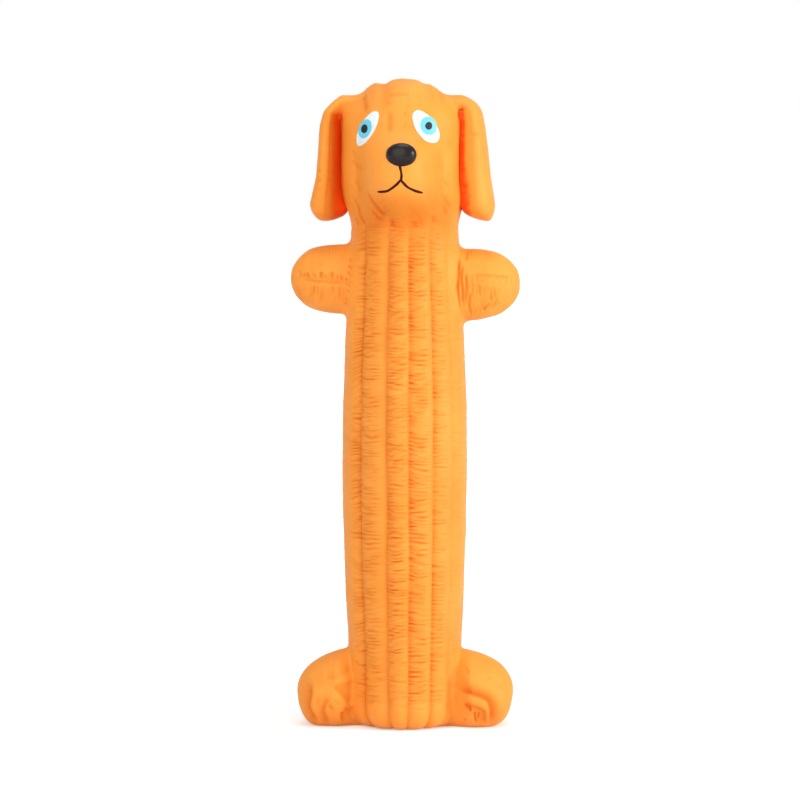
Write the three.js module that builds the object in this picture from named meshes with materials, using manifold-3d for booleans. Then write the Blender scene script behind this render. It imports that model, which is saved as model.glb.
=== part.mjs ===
// A latex dog toy: a long stuffed dog that sits upright on its hind feet, with lumpy columns round its body.
// Millimetres, +Z up, the face towards -Y. The dog's own left is +X.
// The skin is one hollow latex moulding, filled with fibre through a hole in its base. A latex plug with a
// reed squeaker closes that hole. Here the skin is divided where the head, ears and limbs leave the body.

import * as THREE from "three";
import { mergeVertices } from "three/addons/utils/BufferGeometryUtils.js";
import Module from "manifold-3d";

const wasm = await Module();
wasm.setup();

// Fits that every piece shares
const clearance = 0.3; // gap between pieces that rest on or are let into each other
const overrun = 5; // how far a cutting solid runs past what it cuts
const stampDepth = 10; // how far a mark's shape is pushed to each side of the face
const wall = 2.4; // the latex skin, measured at the crown of a column
const weld = 0.0001; // points closer than this are one point

// Body: a stick that swells at the belly and draws in at the neck
const toyHeight = 270; // from the base to the top of the crown
const baseFlatRadius = 15.5;
const baseEdgeHeight = 9;
const hipRadius = 23.7;
const hipRise = 25; // above the base's rounded edge
const bellyRadius = 26;
const bellyDrop = 43; // below the chest
const chestRadius = 24.3;
const chestDrop = 43; // below the neck
const neckRadius = 22.3;
const floorThickness = 3.2;

// Columns: upright ribs that run from the base over the crown, with a crease between each two
const creaseDepth = 1.4;
const columnWidthShares = [
  1.16, 0.85, 0.96, 0.86, 1.05, 0.99, 1.05, // from the front round the dog's left side to its back
  1.01, 0.99, 1.03, 0.97, 1.05, 0.99, 1.03, // and on round its right side
];
const firstCreaseShare = -0.1236; // of a turn from the front
const pointsPerColumn = 4;

// Head: cheeks over the neck, a domed crown and a broad soft muzzle
const jawHeight = 32;
const cheekRise = 15;
const headHalfWidth = 25;
const headHalfDepth = 24.5;
const crownHeight = 30;
const crownFullness = 3.1; // seen from the front: 2 is an ellipse, more is squarer
const foreheadFullness = 2.6; // the same, seen from the side
const muzzleReach = 11.5;
const muzzleDrop = 40; // from the top of the crown to the middle of the muzzle
const muzzleHalfWidth = 18.5;
const muzzleHalfHeight = 19;
const muzzleFullness = 4; // across the muzzle, more is blunter
const muzzleSlope = 3; // the same, up and down it
const faceShare = 0.17; // of a turn, the smooth face on each side of the front
const faceFadeShare = 0.06;

// Ears: thick flaps that leave the sides of the crown and hang beside the head
const earTopDrop = 6.8; // from the top of the crown to the top of the ear's root
const earRootHalfHeight = 3.9;
const earRootHalfBreadth = 9;
const earHalfThickness = 4.2;
const earHalfBreadth = 10.5;
const earTipHalfThickness = 6.3;
const earTipHalfBreadth = 12;
const earHang = 44.6; // from the bend's inner corner down to the tip
const earTipRound = 9;
const earFlare = 2.2; // how far the tip's lowest point stands out from its middle
const earSlant = 2.4; // how much higher the tip's inner edge is than its outer one
const earSetBack = 1;

// Front paws: stubs that stand straight out below the neck
const pawLength = 24.2;
const pawHalfHeight = 14.8;
const pawHalfDepth = 12;
const leftPawDrop = 23.5; // from the neck to the middle of the paw
const rightPawDrop = 21.2;
const pawFullness = 2.3;
const pawGrooveLength = 15;
const leftGrooveRise = 3.7; // above the middle of the paw
const rightGrooveRise = -0.6;

// Hind feet: rounded lobes at the base, flat below, with curled toes on their front
const footLength = 21.5;
const footHalfHeight = 16.5;
const footSink = 1; // how far the lobe's lower side is cut off by the floor
const footInset = 9.7; // how far the foot reaches under the body's side
const footHalfDepth = 16;
const footForward = 3;
const footFullness = 2.2;
const toeCurlRadius = 12.5;
const toeCurlInset = 1; // from the body's side to the middle of the curl
const toeCurlRise = 4.5;
const innerToeShare = 0.5; // the inner curl's radius against the outer one's

// Grooves pressed into the paws and feet
const grooveWidth = 1.4;
const grooveDepth = 1;

// Nose, eyes and mouth: a moulded dome and painted marks, let into the face
const noseHalfWidth = 6.25;
const noseHalfHeight = 4.9;
const noseStand = 4;
const noseDrop = 31; // below the top of the crown
const paintThickness = 0.6;
const paintStand = 0.15; // how far a painted mark stands out of the face
const eyeLength = 16;
const eyeBreadth = 9;
const eyeDrop = 20; // below the top of the crown
const eyeSpread = 12.2;
const eyesAside = -2.3; // both eyes are painted a little towards the dog's right
const eyeTurnShare = 0.085; // of a turn that each eye faces sideways
const eyeLeanShare = 0.088; // of a turn that the top of each eye leans inwards
const irisOut = 0.3; // the iris sits a little outwards of and above the eye's middle
const irisUp = 0.6;
const irisShare = 0.7; // of the eye's breadth
const pupilShare = 0.33;
const lineWidth = 0.9;
const lipHalfWidth = 9.2;
const lipDrop = 4.4;
const philtrumLength = 6.5;

// Squeaker and the plug that carries it
const plugRadius = 11;
const plugFlangeWidth = 2.6;
const plugFlangeThickness = 1.6;
const plugRecess = 0.5; // the plug and the squeaker's neck stay clear of the floor by this much
const cupRadius = 9.5;
const cupWall = 1.1;
const cupDepth = 11.5;
const airRadius = 1.7;
const neckWall = 1.5;
const reedLength = 9;
const reedWidth = 5;
const reedThickness = 0.35;
const reedFoot = 2.2; // the length that the cup's rib pinches
const layFall = 0.9; // how far the block's face falls away from the reed at its tip
const blockWidth = 7;
const blockBack = 3.4; // from the squeaker's axis to the block's back
const channelWidth = 3;
const blockRoof = 1.2;
const ribThickness = 1.6;
const capThickness = 1.4;
const inletRadius = 1.1;
const inletCount = 6;

// Counts that only set how finely a curve is cut
const sideSections = 12;
const baseSections = 3;
const jawSections = 8;
const crownSections = 7;
const insideSides = 20;
const insideSections = 4;
const limbSides = 20;
const limbSections = 7;
const smallSides = 24;
const arcSegments = 7;
const earBendSections = 4;
const earHangSections = 5;
const earTipSections = 4;

// Heights and reaches that follow from the sizes above
const widestHeight = toyHeight - crownHeight;
const neckHeight = widestHeight - jawHeight;
const chestHeight = neckHeight - chestDrop;
const bellyHeight = chestHeight - bellyDrop;
const hipHeight = baseEdgeHeight + hipRise;
const muzzleHeight = toyHeight - muzzleDrop;
const noseHeight = toyHeight - noseDrop;
const turn = 2 * Math.PI;

const latex = { color: 0xfa9a3e, roughness: 0.5, metalness: 0 };
const blackGloss = { color: 0x211715, roughness: 0.18, metalness: 0 };
const whitePaint = { color: 0xf1f9fd, roughness: 0.35, metalness: 0 };
const bluePaint = { color: 0x74cbe4, roughness: 0.35, metalness: 0 };
const linePaint = { color: 0x351a0e, roughness: 0.45, metalness: 0 };
const fibre = { color: 0xf2f0ea, roughness: 0.95, metalness: 0 };
const whitePlastic = { color: 0xe9e7e0, roughness: 0.4, metalness: 0 };

// The solid of a closed geometry, ready to be joined or cut.
function solid(geometry) {
  const bare = geometry.clone();
  bare.deleteAttribute("normal");
  bare.deleteAttribute("uv");
  const merged = mergeVertices(bare, weld);
  const vertProperties = merged.attributes.position.array;
  const triVerts = new Uint32Array(merged.index.array);
  return new wasm.Manifold(new wasm.Mesh({ numProp: 3, vertProperties, triVerts }));
}

// A named mesh made from a solid, with a material of its own.
function piece(name, made, finish) {
  const data = made.getMesh();
  const geometry = new THREE.BufferGeometry();
  geometry.setAttribute("position", new THREE.BufferAttribute(data.vertProperties, data.numProp));
  geometry.setIndex(new THREE.BufferAttribute(data.triVerts, 1));
  geometry.computeVertexNormals();
  const mesh = new THREE.Mesh(geometry, new THREE.MeshStandardMaterial(finish));
  mesh.name = name;
  return mesh;
}

// A closed surface through rings of points, all with the same count. A fan of faces closes each end: on
// the first ring's middle, and on the tip, or the last ring's middle where no tip is given.
function loft(rings, tip = middleOf(rings.at(-1))) {
  const count = rings[0].length;
  const lastRing = (rings.length - 1) * count;
  const points = [...rings.flat(), middleOf(rings[0]), tip];
  const first = lastRing + count;
  const faces = [];
  for (let i = 0; i < count; i += 1) {
    const next = (i + 1) % count;
    for (let row = 0; row < lastRing; row += count) {
      faces.push(row + i, row + next, row + count + i);
      faces.push(row + next, row + count + next, row + count + i);
    }
    faces.push(first, next, i);
    faces.push(first + 1, lastRing + i, lastRing + next);
  }
  const places = points.flatMap((point) => point.toArray());
  const geometry = new THREE.BufferGeometry();
  geometry.setAttribute("position", new THREE.Float32BufferAttribute(places, 3));
  geometry.setIndex(faces);
  return solid(geometry);
}

// The middle of a ring of points.
function middleOf(ring) {
  return ring.reduce((sum, point) => sum.add(point), new THREE.Vector3()).divideScalar(ring.length);
}

// A solid turned about the Z axis from a closed profile of [radius, height] pairs.
function turned(profile, sides = smallSides) {
  const points = [...profile, profile[0]].map(([radius, height]) => new THREE.Vector2(radius, height));
  return solid(new THREE.LatheGeometry(points, sides).rotateX(Math.PI / 2));
}

// A flat shape in the plane of X and Z, pushed forwards, towards -Y, from the given depth.
function forwards(shape, depth, from = 0) {
  const options = { depth, bevelEnabled: false, curveSegments: arcSegments };
  return new THREE.ExtrudeGeometry(shape, options).rotateX(Math.PI / 2).translate(0, -from, 0);
}

// A box between two corners.
function box(low, high) {
  const size = new THREE.Vector3().subVectors(high, low);
  const middle = new THREE.Vector3().addVectors(low, high).divideScalar(2);
  return solid(new THREE.BoxGeometry(...size).translate(...middle));
}

// A smooth step from 0 to 1.
function ease(share) {
  return THREE.MathUtils.smoothstep(share, 0, 1);
}

// The body's side, from the top of the base's rounded edge to the neck.
const sideCurve = new THREE.SplineCurve([
  new THREE.Vector2(hipRadius, baseEdgeHeight),
  new THREE.Vector2(hipRadius, hipHeight),
  new THREE.Vector2(bellyRadius, bellyHeight),
  new THREE.Vector2(chestRadius, chestHeight),
  new THREE.Vector2(neckRadius, neckHeight),
]);
const sideLine = sideCurve.getSpacedPoints(sideSections);

// The body's radius at a height, before its creases.
function bodyRadius(height) {
  if (height < baseEdgeHeight) {
    const drop = 1 - Math.max(0, height) / baseEdgeHeight;
    return baseFlatRadius + (hipRadius - baseFlatRadius) * Math.sqrt(1 - drop * drop);
  }
  const above = sideLine.findIndex((point) => point.y > height);
  if (above < 1) return neckRadius;
  const share = (height - sideLine[above - 1].y) / (sideLine[above].y - sideLine[above - 1].y);
  return THREE.MathUtils.lerp(sideLine[above - 1].x, sideLine[above].x, share);
}

// The directions round the body, counted from the front towards +X, each with its place across its column.
function columnStations() {
  const total = columnWidthShares.reduce((sum, width) => sum + width, 0);
  const stations = [];
  let start = firstCreaseShare;
  for (const width of columnWidthShares) {
    for (let i = 0; i < pointsPerColumn; i += 1) {
      const across = i / pointsPerColumn;
      const angle = turn * (start + (across * width) / total);
      stations.push({ angle, dip: 1 - Math.sin(Math.PI * across) });
    }
    start += width / total;
  }
  return stations;
}

// Directions spread evenly round the body, with no creases.
function smoothStations() {
  const stations = [];
  for (let i = 0; i < insideSides; i += 1) stations.push({ angle: (turn * i) / insideSides, dip: 0 });
  return stations;
}

// How finely the outside and the plain inside of the skin are cut.
const outer = {
  stations: columnStations(),
  side: sideSections,
  base: baseSections,
  jaw: jawSections,
  crown: crownSections,
};
const inner = {
  stations: smoothStations(),
  side: insideSections,
  base: 1,
  jaw: insideSections,
  crown: insideSections,
};

// The body between two heights, grown by an offset.
function bodyForm(offset, bottom, top, detail) {
  const heights = sideCurve.getSpacedPoints(detail.side).map((point) => point.y);
  for (let i = 0; i < detail.base; i += 1) {
    heights.push(baseEdgeHeight * (1 - Math.cos((turn / 4) * (i / detail.base))));
  }
  const between = heights.filter((height) => height > bottom && height < top).sort((a, b) => a - b);
  const rings = [bottom, ...between, top].map((height) =>
    detail.stations.map(({ angle, dip }) => {
      const radius = bodyRadius(height) + offset - creaseDepth * dip;
      return new THREE.Vector3(radius * Math.sin(angle), -radius * Math.cos(angle), height);
    }),
  );
  return loft(rings);
}

// How far the muzzle stands out of the face at a place across and up it.
function muzzleAt(across, height, offset) {
  const sideways = Math.min(1, Math.abs(across) / (muzzleHalfWidth + offset));
  const upwards = Math.min(1, Math.abs(height - muzzleHeight) / (muzzleHalfHeight + offset));
  return muzzleReach * (1 - sideways ** muzzleFullness) ** 2 * (1 - upwards ** muzzleSlope) ** 2;
}

// How much of its crease a column keeps on the head: none on the face, all on the sides, back and crown.
function creaseShareOnHead(angle, height) {
  const fromFront = Math.abs(THREE.MathUtils.euclideanModulo(angle / turn + 1 / 2, 1) - 1 / 2);
  const side = ease((fromFront - faceShare) / faceFadeShare);
  const crown = ease((height - widestHeight) / crownHeight);
  return Math.max(side, crown);
}

// One ring of the head at a height, grown by an offset.
function headRing(height, offset, stations) {
  const rise = Math.min(1, Math.max(0, height - widestHeight) / (crownHeight + offset));
  const cheek = ease((height - neckHeight) / cheekRise);
  const sideShare = Math.sqrt(1 - rise ** crownFullness);
  const depthShare = Math.sqrt(1 - rise ** foreheadFullness);
  const halfWidth = (THREE.MathUtils.lerp(neckRadius, headHalfWidth, cheek) + offset) * sideShare;
  const halfDepth = (THREE.MathUtils.lerp(neckRadius, headHalfDepth, cheek) + offset) * depthShare;
  return stations.map(({ angle, dip }) => {
    const kept = 1 - (creaseDepth * dip * creaseShareOnHead(angle, height)) / headHalfWidth;
    const x = halfWidth * Math.sin(angle) * kept;
    const front = Math.cos(angle) > 0 ? muzzleAt(x, height, offset) : 0;
    return new THREE.Vector3(x, -halfDepth * Math.cos(angle) * kept - front, height);
  });
}

// The head from a height up to the top of the crown, grown by an offset.
function headForm(offset, bottom, detail) {
  const heights = [];
  for (let i = 0; i < detail.jaw; i += 1) {
    heights.push(THREE.MathUtils.lerp(bottom, widestHeight, i / detail.jaw));
  }
  for (let i = 0; i < detail.crown; i += 1) {
    heights.push(widestHeight + (crownHeight + offset) * Math.sin((turn / 4) * (i / detail.crown)));
  }
  const top = new THREE.Vector3(0, 0, toyHeight + offset);
  return loft(heights.map((height) => headRing(height, offset, detail.stations)), top);
}

// How far the face stands in front of the body's axis at a place across and up it.
function faceReach(across, height) {
  const angle = Math.asin(Math.min(1, Math.abs(across) / headHalfWidth));
  return -headRing(height, 0, [{ angle, dip: 0 }])[0].y;
}

// A limb that stands out of the body's side along X: half an egg on a straight root, grown by an offset.
// side is 1 for the dog's left and -1 for its right. The limb reaches no lower than floor.
function limbForm(limb, side, offset, floor = -toyHeight) {
  const stations = [{ x: limb.start - offset, share: 1 }];
  for (let i = 0; i < limbSections; i += 1) {
    const along = Math.sin((turn / 4) * (i / limbSections));
    const x = limb.root.x + (limb.length + offset) * along;
    stations.push({ x, share: Math.sqrt(1 - along ** limb.fullness) });
  }
  const rings = stations.map(({ x, share }) => {
    const ring = [];
    for (let i = 0; i < limbSides; i += 1) {
      const angle = (turn * i) / limbSides;
      const y = limb.root.y + (limb.halfDepth + offset) * share * Math.cos(angle);
      const z = limb.root.z + (limb.halfHeight + offset) * share * Math.sin(angle);
      ring.push(new THREE.Vector3(side * x, y, Math.max(z, floor)));
    }
    return side > 0 ? ring : ring.reverse();
  });
  const tip = new THREE.Vector3(side * (limb.root.x + limb.length + offset), limb.root.y, limb.root.z);
  return loft(rings, tip);
}

// The sizes of a front paw, whose middle hangs a given drop below the neck.
function pawLimb(drop) {
  const radius = bodyRadius(neckHeight - drop);
  return {
    root: new THREE.Vector3(radius, 0, neckHeight - drop),
    start: radius / 2,
    length: pawLength,
    halfHeight: pawHalfHeight,
    halfDepth: pawHalfDepth,
    fullness: pawFullness,
  };
}

// The sizes of a hind foot, whose lower side the floor cuts off flat.
function footLimb() {
  return {
    root: new THREE.Vector3(hipRadius, -footForward, footHalfHeight - footSink),
    start: hipRadius - footInset,
    length: footLength,
    halfHeight: footHalfHeight,
    halfDepth: footHalfDepth,
    fullness: footFullness,
  };
}

// A groove of even depth: a shape pushed forwards from the limb's middle, less the limb drawn in by it.
function groove(shape, limb, side, floor) {
  const cut = solid(forwards(shape, limb.halfDepth + overrun, -limb.root.y));
  return cut.subtract(limbForm(limb, side, -grooveDepth, floor));
}

// A straight groove along the front of a paw, at a rise above the paw's middle.
function pawGroove(limb, side, rise) {
  const start = limb.root.x + grooveWidth;
  const height = limb.root.z + rise;
  const ends = [side * start, side * (start + pawGrooveLength)].sort((a, b) => a - b);
  const shape = new THREE.Shape();
  shape.absarc(ends[1], height, grooveWidth / 2, -turn / 4, turn / 4, false);
  shape.absarc(ends[0], height, grooveWidth / 2, turn / 4, (turn * 3) / 4, false);
  return groove(shape, limb, side);
}

// A curled groove between the toes of a foot: a quarter of a ring, open towards the body.
function toeGroove(limb, side, radius) {
  const middle = side * (hipRadius + toeCurlInset);
  const start = side > 0 ? 0 : turn / 4;
  const shape = new THREE.Shape();
  shape.absarc(middle, toeCurlRise, radius + grooveWidth / 2, start, start + turn / 4, false);
  shape.absarc(middle, toeCurlRise, radius - grooveWidth / 2, start + turn / 4, start, true);
  return groove(shape, limb, side, grooveDepth);
}

// The inner corner of an ear, where its root turns down into the flap: every ring of the bend starts there.
const earCornerReach = headHalfWidth + clearance;
const earCornerHeight = toyHeight - earTopDrop - 2 * earRootHalfHeight;

// One ring of an ear: an ellipse whose thickness lies along a direction seen from the front, and whose
// breadth lies along Y. Its inner edge is at the corner, moved out, down and up again by the slant.
function earRing(turned, halfThickness, halfBreadth, out = 0, down = 0, slant = 0) {
  const ring = [];
  for (let i = 0; i < limbSides; i += 1) {
    const angle = (turn * i) / limbSides;
    const across = halfThickness * (1 + Math.cos(angle));
    const x = earCornerReach + out + across * Math.sin(turned);
    const lifted = (slant * (1 - Math.cos(angle))) / 2;
    const z = earCornerHeight - down + lifted + across * Math.cos(turned);
    ring.push(new THREE.Vector3(x, earSetBack - halfBreadth * Math.sin(angle), z));
  }
  return ring;
}

// An ear on the dog's left: a fan of rings round the bend, then level rings down the flap to its round tip.
function earForm() {
  const rings = [];
  for (let i = 0; i < earBendSections; i += 1) {
    const share = i / earBendSections;
    const halfThickness = THREE.MathUtils.lerp(earRootHalfHeight, earHalfThickness, share);
    const halfBreadth = THREE.MathUtils.lerp(earRootHalfBreadth, earHalfBreadth, share);
    rings.push(earRing((turn / 4) * share, halfThickness, halfBreadth));
  }
  for (let i = 0; i < earHangSections; i += 1) {
    const share = i / earHangSections;
    const grown = ease(share);
    const halfThickness = THREE.MathUtils.lerp(earHalfThickness, earTipHalfThickness, grown);
    const halfBreadth = THREE.MathUtils.lerp(earHalfBreadth, earTipHalfBreadth, grown);
    const down = (earHang - earTipRound) * share;
    rings.push(earRing(turn / 4, halfThickness, halfBreadth, 0, down, earSlant * grown));
  }
  for (let i = 0; i < earTipSections; i += 1) {
    const along = Math.sin((turn / 4) * (i / earTipSections));
    const share = Math.sqrt(1 - along * along);
    const out = (earTipHalfThickness + earFlare) * (1 - share);
    const down = earHang - earTipRound + earTipRound * along;
    const halfThickness = earTipHalfThickness * share;
    const halfBreadth = earTipHalfBreadth * share;
    rings.push(earRing(turn / 4, halfThickness, halfBreadth, out, down, earSlant * share));
  }
  const tipReach = earCornerReach + earTipHalfThickness + earFlare;
  const tip = new THREE.Vector3(tipReach, earSetBack, earCornerHeight - earHang);
  return { rings, tip };
}

// An ear on either side. Mirroring turns each ring round, so its points are put in the other order.
function ear(side) {
  const { rings, tip } = earForm();
  return loft(mirrored(rings, side), new THREE.Vector3(side * tip.x, tip.y, tip.z));
}

// The short root that carries an ear: the ear's first ring, carried back into the head.
function earRoot(side) {
  const [edge] = earForm().rings;
  const rings = [-headHalfWidth / 2, -clearance].map((back) =>
    edge.map((point) => new THREE.Vector3(point.x + back, point.y, point.z)),
  );
  return loft(mirrored(rings, side));
}

// Rings for the dog's right, from those for its left.
function mirrored(rings, side) {
  if (side > 0) return rings;
  return rings.map((ring) => ring.map((point) => new THREE.Vector3(-point.x, point.y, point.z)).reverse());
}

// A flat shape, drawn about its own middle, pushed through the face at a place and turned to face sideways.
function stamp(shape, across, height, sideways = 0) {
  const reach = faceReach(across, height);
  const geometry = forwards(shape, 2 * stampDepth, -stampDepth);
  return solid(geometry.rotateZ(sideways).translate(across, -reach, height));
}

// The thin layer that painted marks lie in, and the depth that the face is let in for them.
const headCutBottom = neckHeight - overrun;
const paintTop = headForm(paintStand, headCutBottom, outer);
const paintLayer = paintTop.subtract(headForm(paintStand - paintThickness, headCutBottom, outer));
const paintFloor = headForm(paintStand - paintThickness - clearance, headCutBottom, outer);

// An ellipse that leans by an angle, as a shape.
function ellipse(halfWidth, halfHeight, lean = 0, x = 0, y = 0) {
  const shape = new THREE.Shape();
  shape.absellipse(x, y, halfWidth, halfHeight, 0, turn, false, lean);
  return shape;
}

// The three marks of one eye, and the pocket that takes them.
function eye(side) {
  const lean = side * turn * eyeLeanShare;
  const sideways = side * turn * eyeTurnShare;
  const across = side * eyeSpread + eyesAside;
  const height = toyHeight - eyeDrop;
  const irisRadius = (eyeBreadth * irisShare) / 2;
  const pupilRadius = (eyeBreadth * pupilShare) / 2;
  const at = (shape) => stamp(shape, across, height, sideways);
  const round = (radius) => at(ellipse(radius, radius, 0, side * irisOut, irisUp));
  const oval = (grown) => at(ellipse(eyeBreadth / 2 + grown, eyeLength / 2 + grown, lean));
  return {
    white: oval(0).subtract(round(irisRadius + clearance)).intersect(paintLayer),
    iris: round(irisRadius).subtract(round(pupilRadius + clearance)).intersect(paintLayer),
    pupil: round(pupilRadius).intersect(paintLayer),
    pocket: oval(clearance).subtract(paintFloor),
  };
}

// The outline of a brush stroke of even width along a curve.
function stroke(curve, width) {
  const left = [];
  const right = [];
  for (let i = 0; i <= arcSegments; i += 1) {
    const point = curve.getPoint(i / arcSegments);
    const along = curve.getTangent(i / arcSegments);
    const aside = new THREE.Vector2(-along.y, along.x).multiplyScalar(width / 2);
    left.push(point.clone().add(aside));
    right.unshift(point.clone().sub(aside));
  }
  return new THREE.Shape([...left, ...right]);
}

// The mouth: a line down from the nose that forks into two lips, drawn about the fork.
function mouth(width) {
  const height = noseHeight - noseHalfHeight - philtrumLength;
  const fork = new THREE.Vector2(0, 0);
  const lines = [new THREE.LineCurve(new THREE.Vector2(0, philtrumLength - clearance), fork)];
  for (const side of [-1, 1]) {
    const bend = new THREE.Vector2((side * lipHalfWidth) / 2, -lipDrop);
    const end = new THREE.Vector2(side * lipHalfWidth, -lipDrop);
    lines.push(new THREE.QuadraticBezierCurve(fork, bend, end));
  }
  return lines.map((line) => stamp(stroke(line, width), 0, height)).reduce((sum, line) => sum.add(line));
}

// The nose: a dome on the muzzle.
function nose() {
  const dome = new THREE.SphereGeometry(1, limbSides, limbSides / 2);
  dome.scale(noseHalfWidth, noseStand, noseHalfHeight);
  dome.translate(0, -faceReach(0, noseHeight), noseHeight);
  return solid(dome).subtract(headForm(clearance, headCutBottom, outer));
}

// The head's skin: a hollow dome with the roots of the ears and pockets for the painted marks.
function headSkin(eyes, line) {
  const bottom = neckHeight + clearance;
  const outside = headForm(0, bottom, outer).add(earRoot(1)).add(earRoot(-1));
  const inside = headForm(-wall, headCutBottom, inner);
  const pockets = eyes.map((marks) => marks.pocket).reduce((sum, pocket) => sum.add(pocket), line);
  return outside.subtract(inside).subtract(pockets);
}

// The space inside one limb, grown by an offset from the inside of its skin.
function limbInside(limb, side, offset, flat) {
  return limbForm(limb, side, offset - wall, flat ? wall - offset : -toyHeight);
}

// The body's skin: a hollow stick, open at the neck and into each limb, with the filling hole in its base.
function bodySkin(limbs) {
  const outside = bodyForm(0, 0, neckHeight, outer);
  const inside = bodyForm(-wall, floorThickness, neckHeight + overrun, inner);
  const hole = turned([
    [0, -overrun],
    [plugRadius + clearance, -overrun],
    [plugRadius + clearance, floorThickness + overrun],
    [0, floorThickness + overrun],
  ]);
  const ways = limbs.map(({ limb, side, flat }) => limbInside(limb, side, 0, flat));
  return ways.reduce((left, way) => left.subtract(way), outside.subtract(inside).subtract(hole));
}

// The skin of one limb, cut by the body, with its grooves.
function limbSkin({ limb, side, flat, grooves }) {
  const outside = limbForm(limb, side, 0, flat ? 0 : -toyHeight);
  const body = bodyForm(clearance, -overrun, neckHeight + overrun, outer);
  const hollow = outside.subtract(limbInside(limb, side, 0, flat)).subtract(body);
  return grooves.reduce((left, cut) => left.subtract(cut), hollow);
}

// The fibre that fills the skin, less the space that the squeaker and its plug take.
function filling(limbs) {
  const body = bodyForm(-wall - clearance, floorThickness + clearance, neckHeight + overrun, inner);
  const head = headForm(-wall - clearance, headCutBottom, inner);
  const parts = limbs.map(({ limb, side, flat }) => limbInside(limb, side, -clearance, flat));
  const whole = parts.reduce((sum, part) => sum.add(part), body.add(head));
  const flangeTop = floorThickness + plugFlangeThickness + 2 * clearance;
  const space = turned([
    [0, -overrun],
    [plugRadius + plugFlangeWidth + clearance, -overrun],
    [plugRadius + plugFlangeWidth + clearance, flangeTop],
    [cupRadius + clearance, flangeTop],
    [cupRadius + clearance, cupTop + clearance],
    [0, cupTop + clearance],
  ]);
  return whole.subtract(space);
}

// Heights inside the squeaker, from the plug up.
const plugFlangeTop = floorThickness + clearance + plugFlangeThickness;
const cupBottom = plugFlangeTop + clearance;
const cupFloorTop = cupBottom + cupWall;
const cupTop = cupFloorTop + cupDepth;
const capBottom = cupTop - capThickness;
const blockBottom = cupFloorTop + clearance;
const blockTop = capBottom - clearance;
const reedBottom = blockBottom;
const layFace = -channelWidth / 2; // the block's face, measured along Y from the squeaker's axis

// The plug: a latex disc glued into the filling hole, with a flange that lies on the floor of the skin.
function plug() {
  const bore = airRadius + neckWall + clearance;
  return turned([
    [bore, plugRecess],
    [plugRadius, plugRecess],
    [plugRadius, floorThickness + clearance],
    [plugRadius + plugFlangeWidth, floorThickness + clearance],
    [plugRadius + plugFlangeWidth, plugFlangeTop],
    [bore, plugFlangeTop],
  ]);
}

// The squeaker's housing: a cup on a hollow neck that passes through the plug. A rib holds the reed's foot.
function squeakerHousing() {
  const cup = turned([
    [airRadius, plugRecess],
    [airRadius + neckWall, plugRecess],
    [airRadius + neckWall, cupBottom],
    [cupRadius, cupBottom],
    [cupRadius, cupTop],
    [cupRadius - cupWall, cupTop],
    [cupRadius - cupWall, cupFloorTop],
    [airRadius, cupFloorTop],
  ]);
  const back = layFace - reedThickness - 2 * clearance;
  const rib = box(
    new THREE.Vector3(-reedWidth / 2, back - ribThickness, cupFloorTop - cupWall / 2),
    new THREE.Vector3(reedWidth / 2, back, cupFloorTop + reedFoot),
  );
  return cup.add(rib);
}

// The reed block: a short post whose face falls away from the reed, with an air channel open to that face.
function reedBlock() {
  const side = new THREE.Shape();
  side.moveTo(layFace, blockBottom);
  side.lineTo(blockBack, blockBottom);
  side.lineTo(blockBack, blockTop);
  side.lineTo(layFace + layFall, blockTop);
  side.lineTo(layFace, blockBottom + reedFoot);
  const post = new THREE.ExtrudeGeometry(side, { depth: blockWidth, bevelEnabled: false });
  post.translate(0, 0, -blockWidth / 2).rotateX(turn / 4).rotateZ(turn / 4);
  const channel = box(
    new THREE.Vector3(-channelWidth / 2, layFace - overrun, blockBottom - overrun),
    new THREE.Vector3(channelWidth / 2, channelWidth / 2, blockTop - blockRoof),
  );
  return solid(post).subtract(channel);
}

// The reed: a thin straight strip that stands before the block's channel and beats against its face.
function reed() {
  const back = layFace - clearance;
  return box(
    new THREE.Vector3(-reedWidth / 2, back - reedThickness, reedBottom),
    new THREE.Vector3(reedWidth / 2, back, reedBottom + reedLength),
  );
}

// The cap: a disc with a ring of air inlets, which keeps the fibre off the reed.
function squeakerCap() {
  const rim = cupRadius - cupWall - clearance;
  const disc = turned([
    [0, capBottom],
    [rim, capBottom],
    [rim, cupTop],
    [0, cupTop],
  ]);
  const drillLength = capThickness + 2 * overrun;
  let left = disc;
  for (let i = 0; i < inletCount; i += 1) {
    const inlet = new THREE.CylinderGeometry(inletRadius, inletRadius, drillLength, arcSegments);
    inlet.rotateX(turn / 4).translate(rim / 2, 0, capBottom).rotateZ((turn * i) / inletCount);
    left = left.subtract(solid(inlet));
  }
  return left;
}

const leftPaw = pawLimb(leftPawDrop);
const rightPaw = pawLimb(rightPawDrop);
const foot = footLimb();
const innerToeRadius = toeCurlRadius * innerToeShare;
const leftGrooves = [pawGroove(leftPaw, 1, leftGrooveRise)];
const rightGrooves = [pawGroove(rightPaw, -1, rightGrooveRise)];
const limbs = [
  { name: "left_front_paw", limb: leftPaw, side: 1, flat: false, grooves: leftGrooves },
  { name: "right_front_paw", limb: rightPaw, side: -1, flat: false, grooves: rightGrooves },
];
for (const side of [1, -1]) {
  const name = side > 0 ? "left_hind_foot" : "right_hind_foot";
  const grooves = [toeCurlRadius, innerToeRadius].map((radius) => toeGroove(foot, side, radius));
  limbs.push({ name, limb: foot, side, flat: true, grooves });
}

const leftEye = eye(1);
const rightEye = eye(-1);
const mouthLine = mouth(lineWidth).intersect(paintLayer);
const mouthPocket = mouth(lineWidth + 2 * clearance).subtract(paintFloor);
const headBlock = headForm(clearance, neckHeight - overrun, outer);

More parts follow.
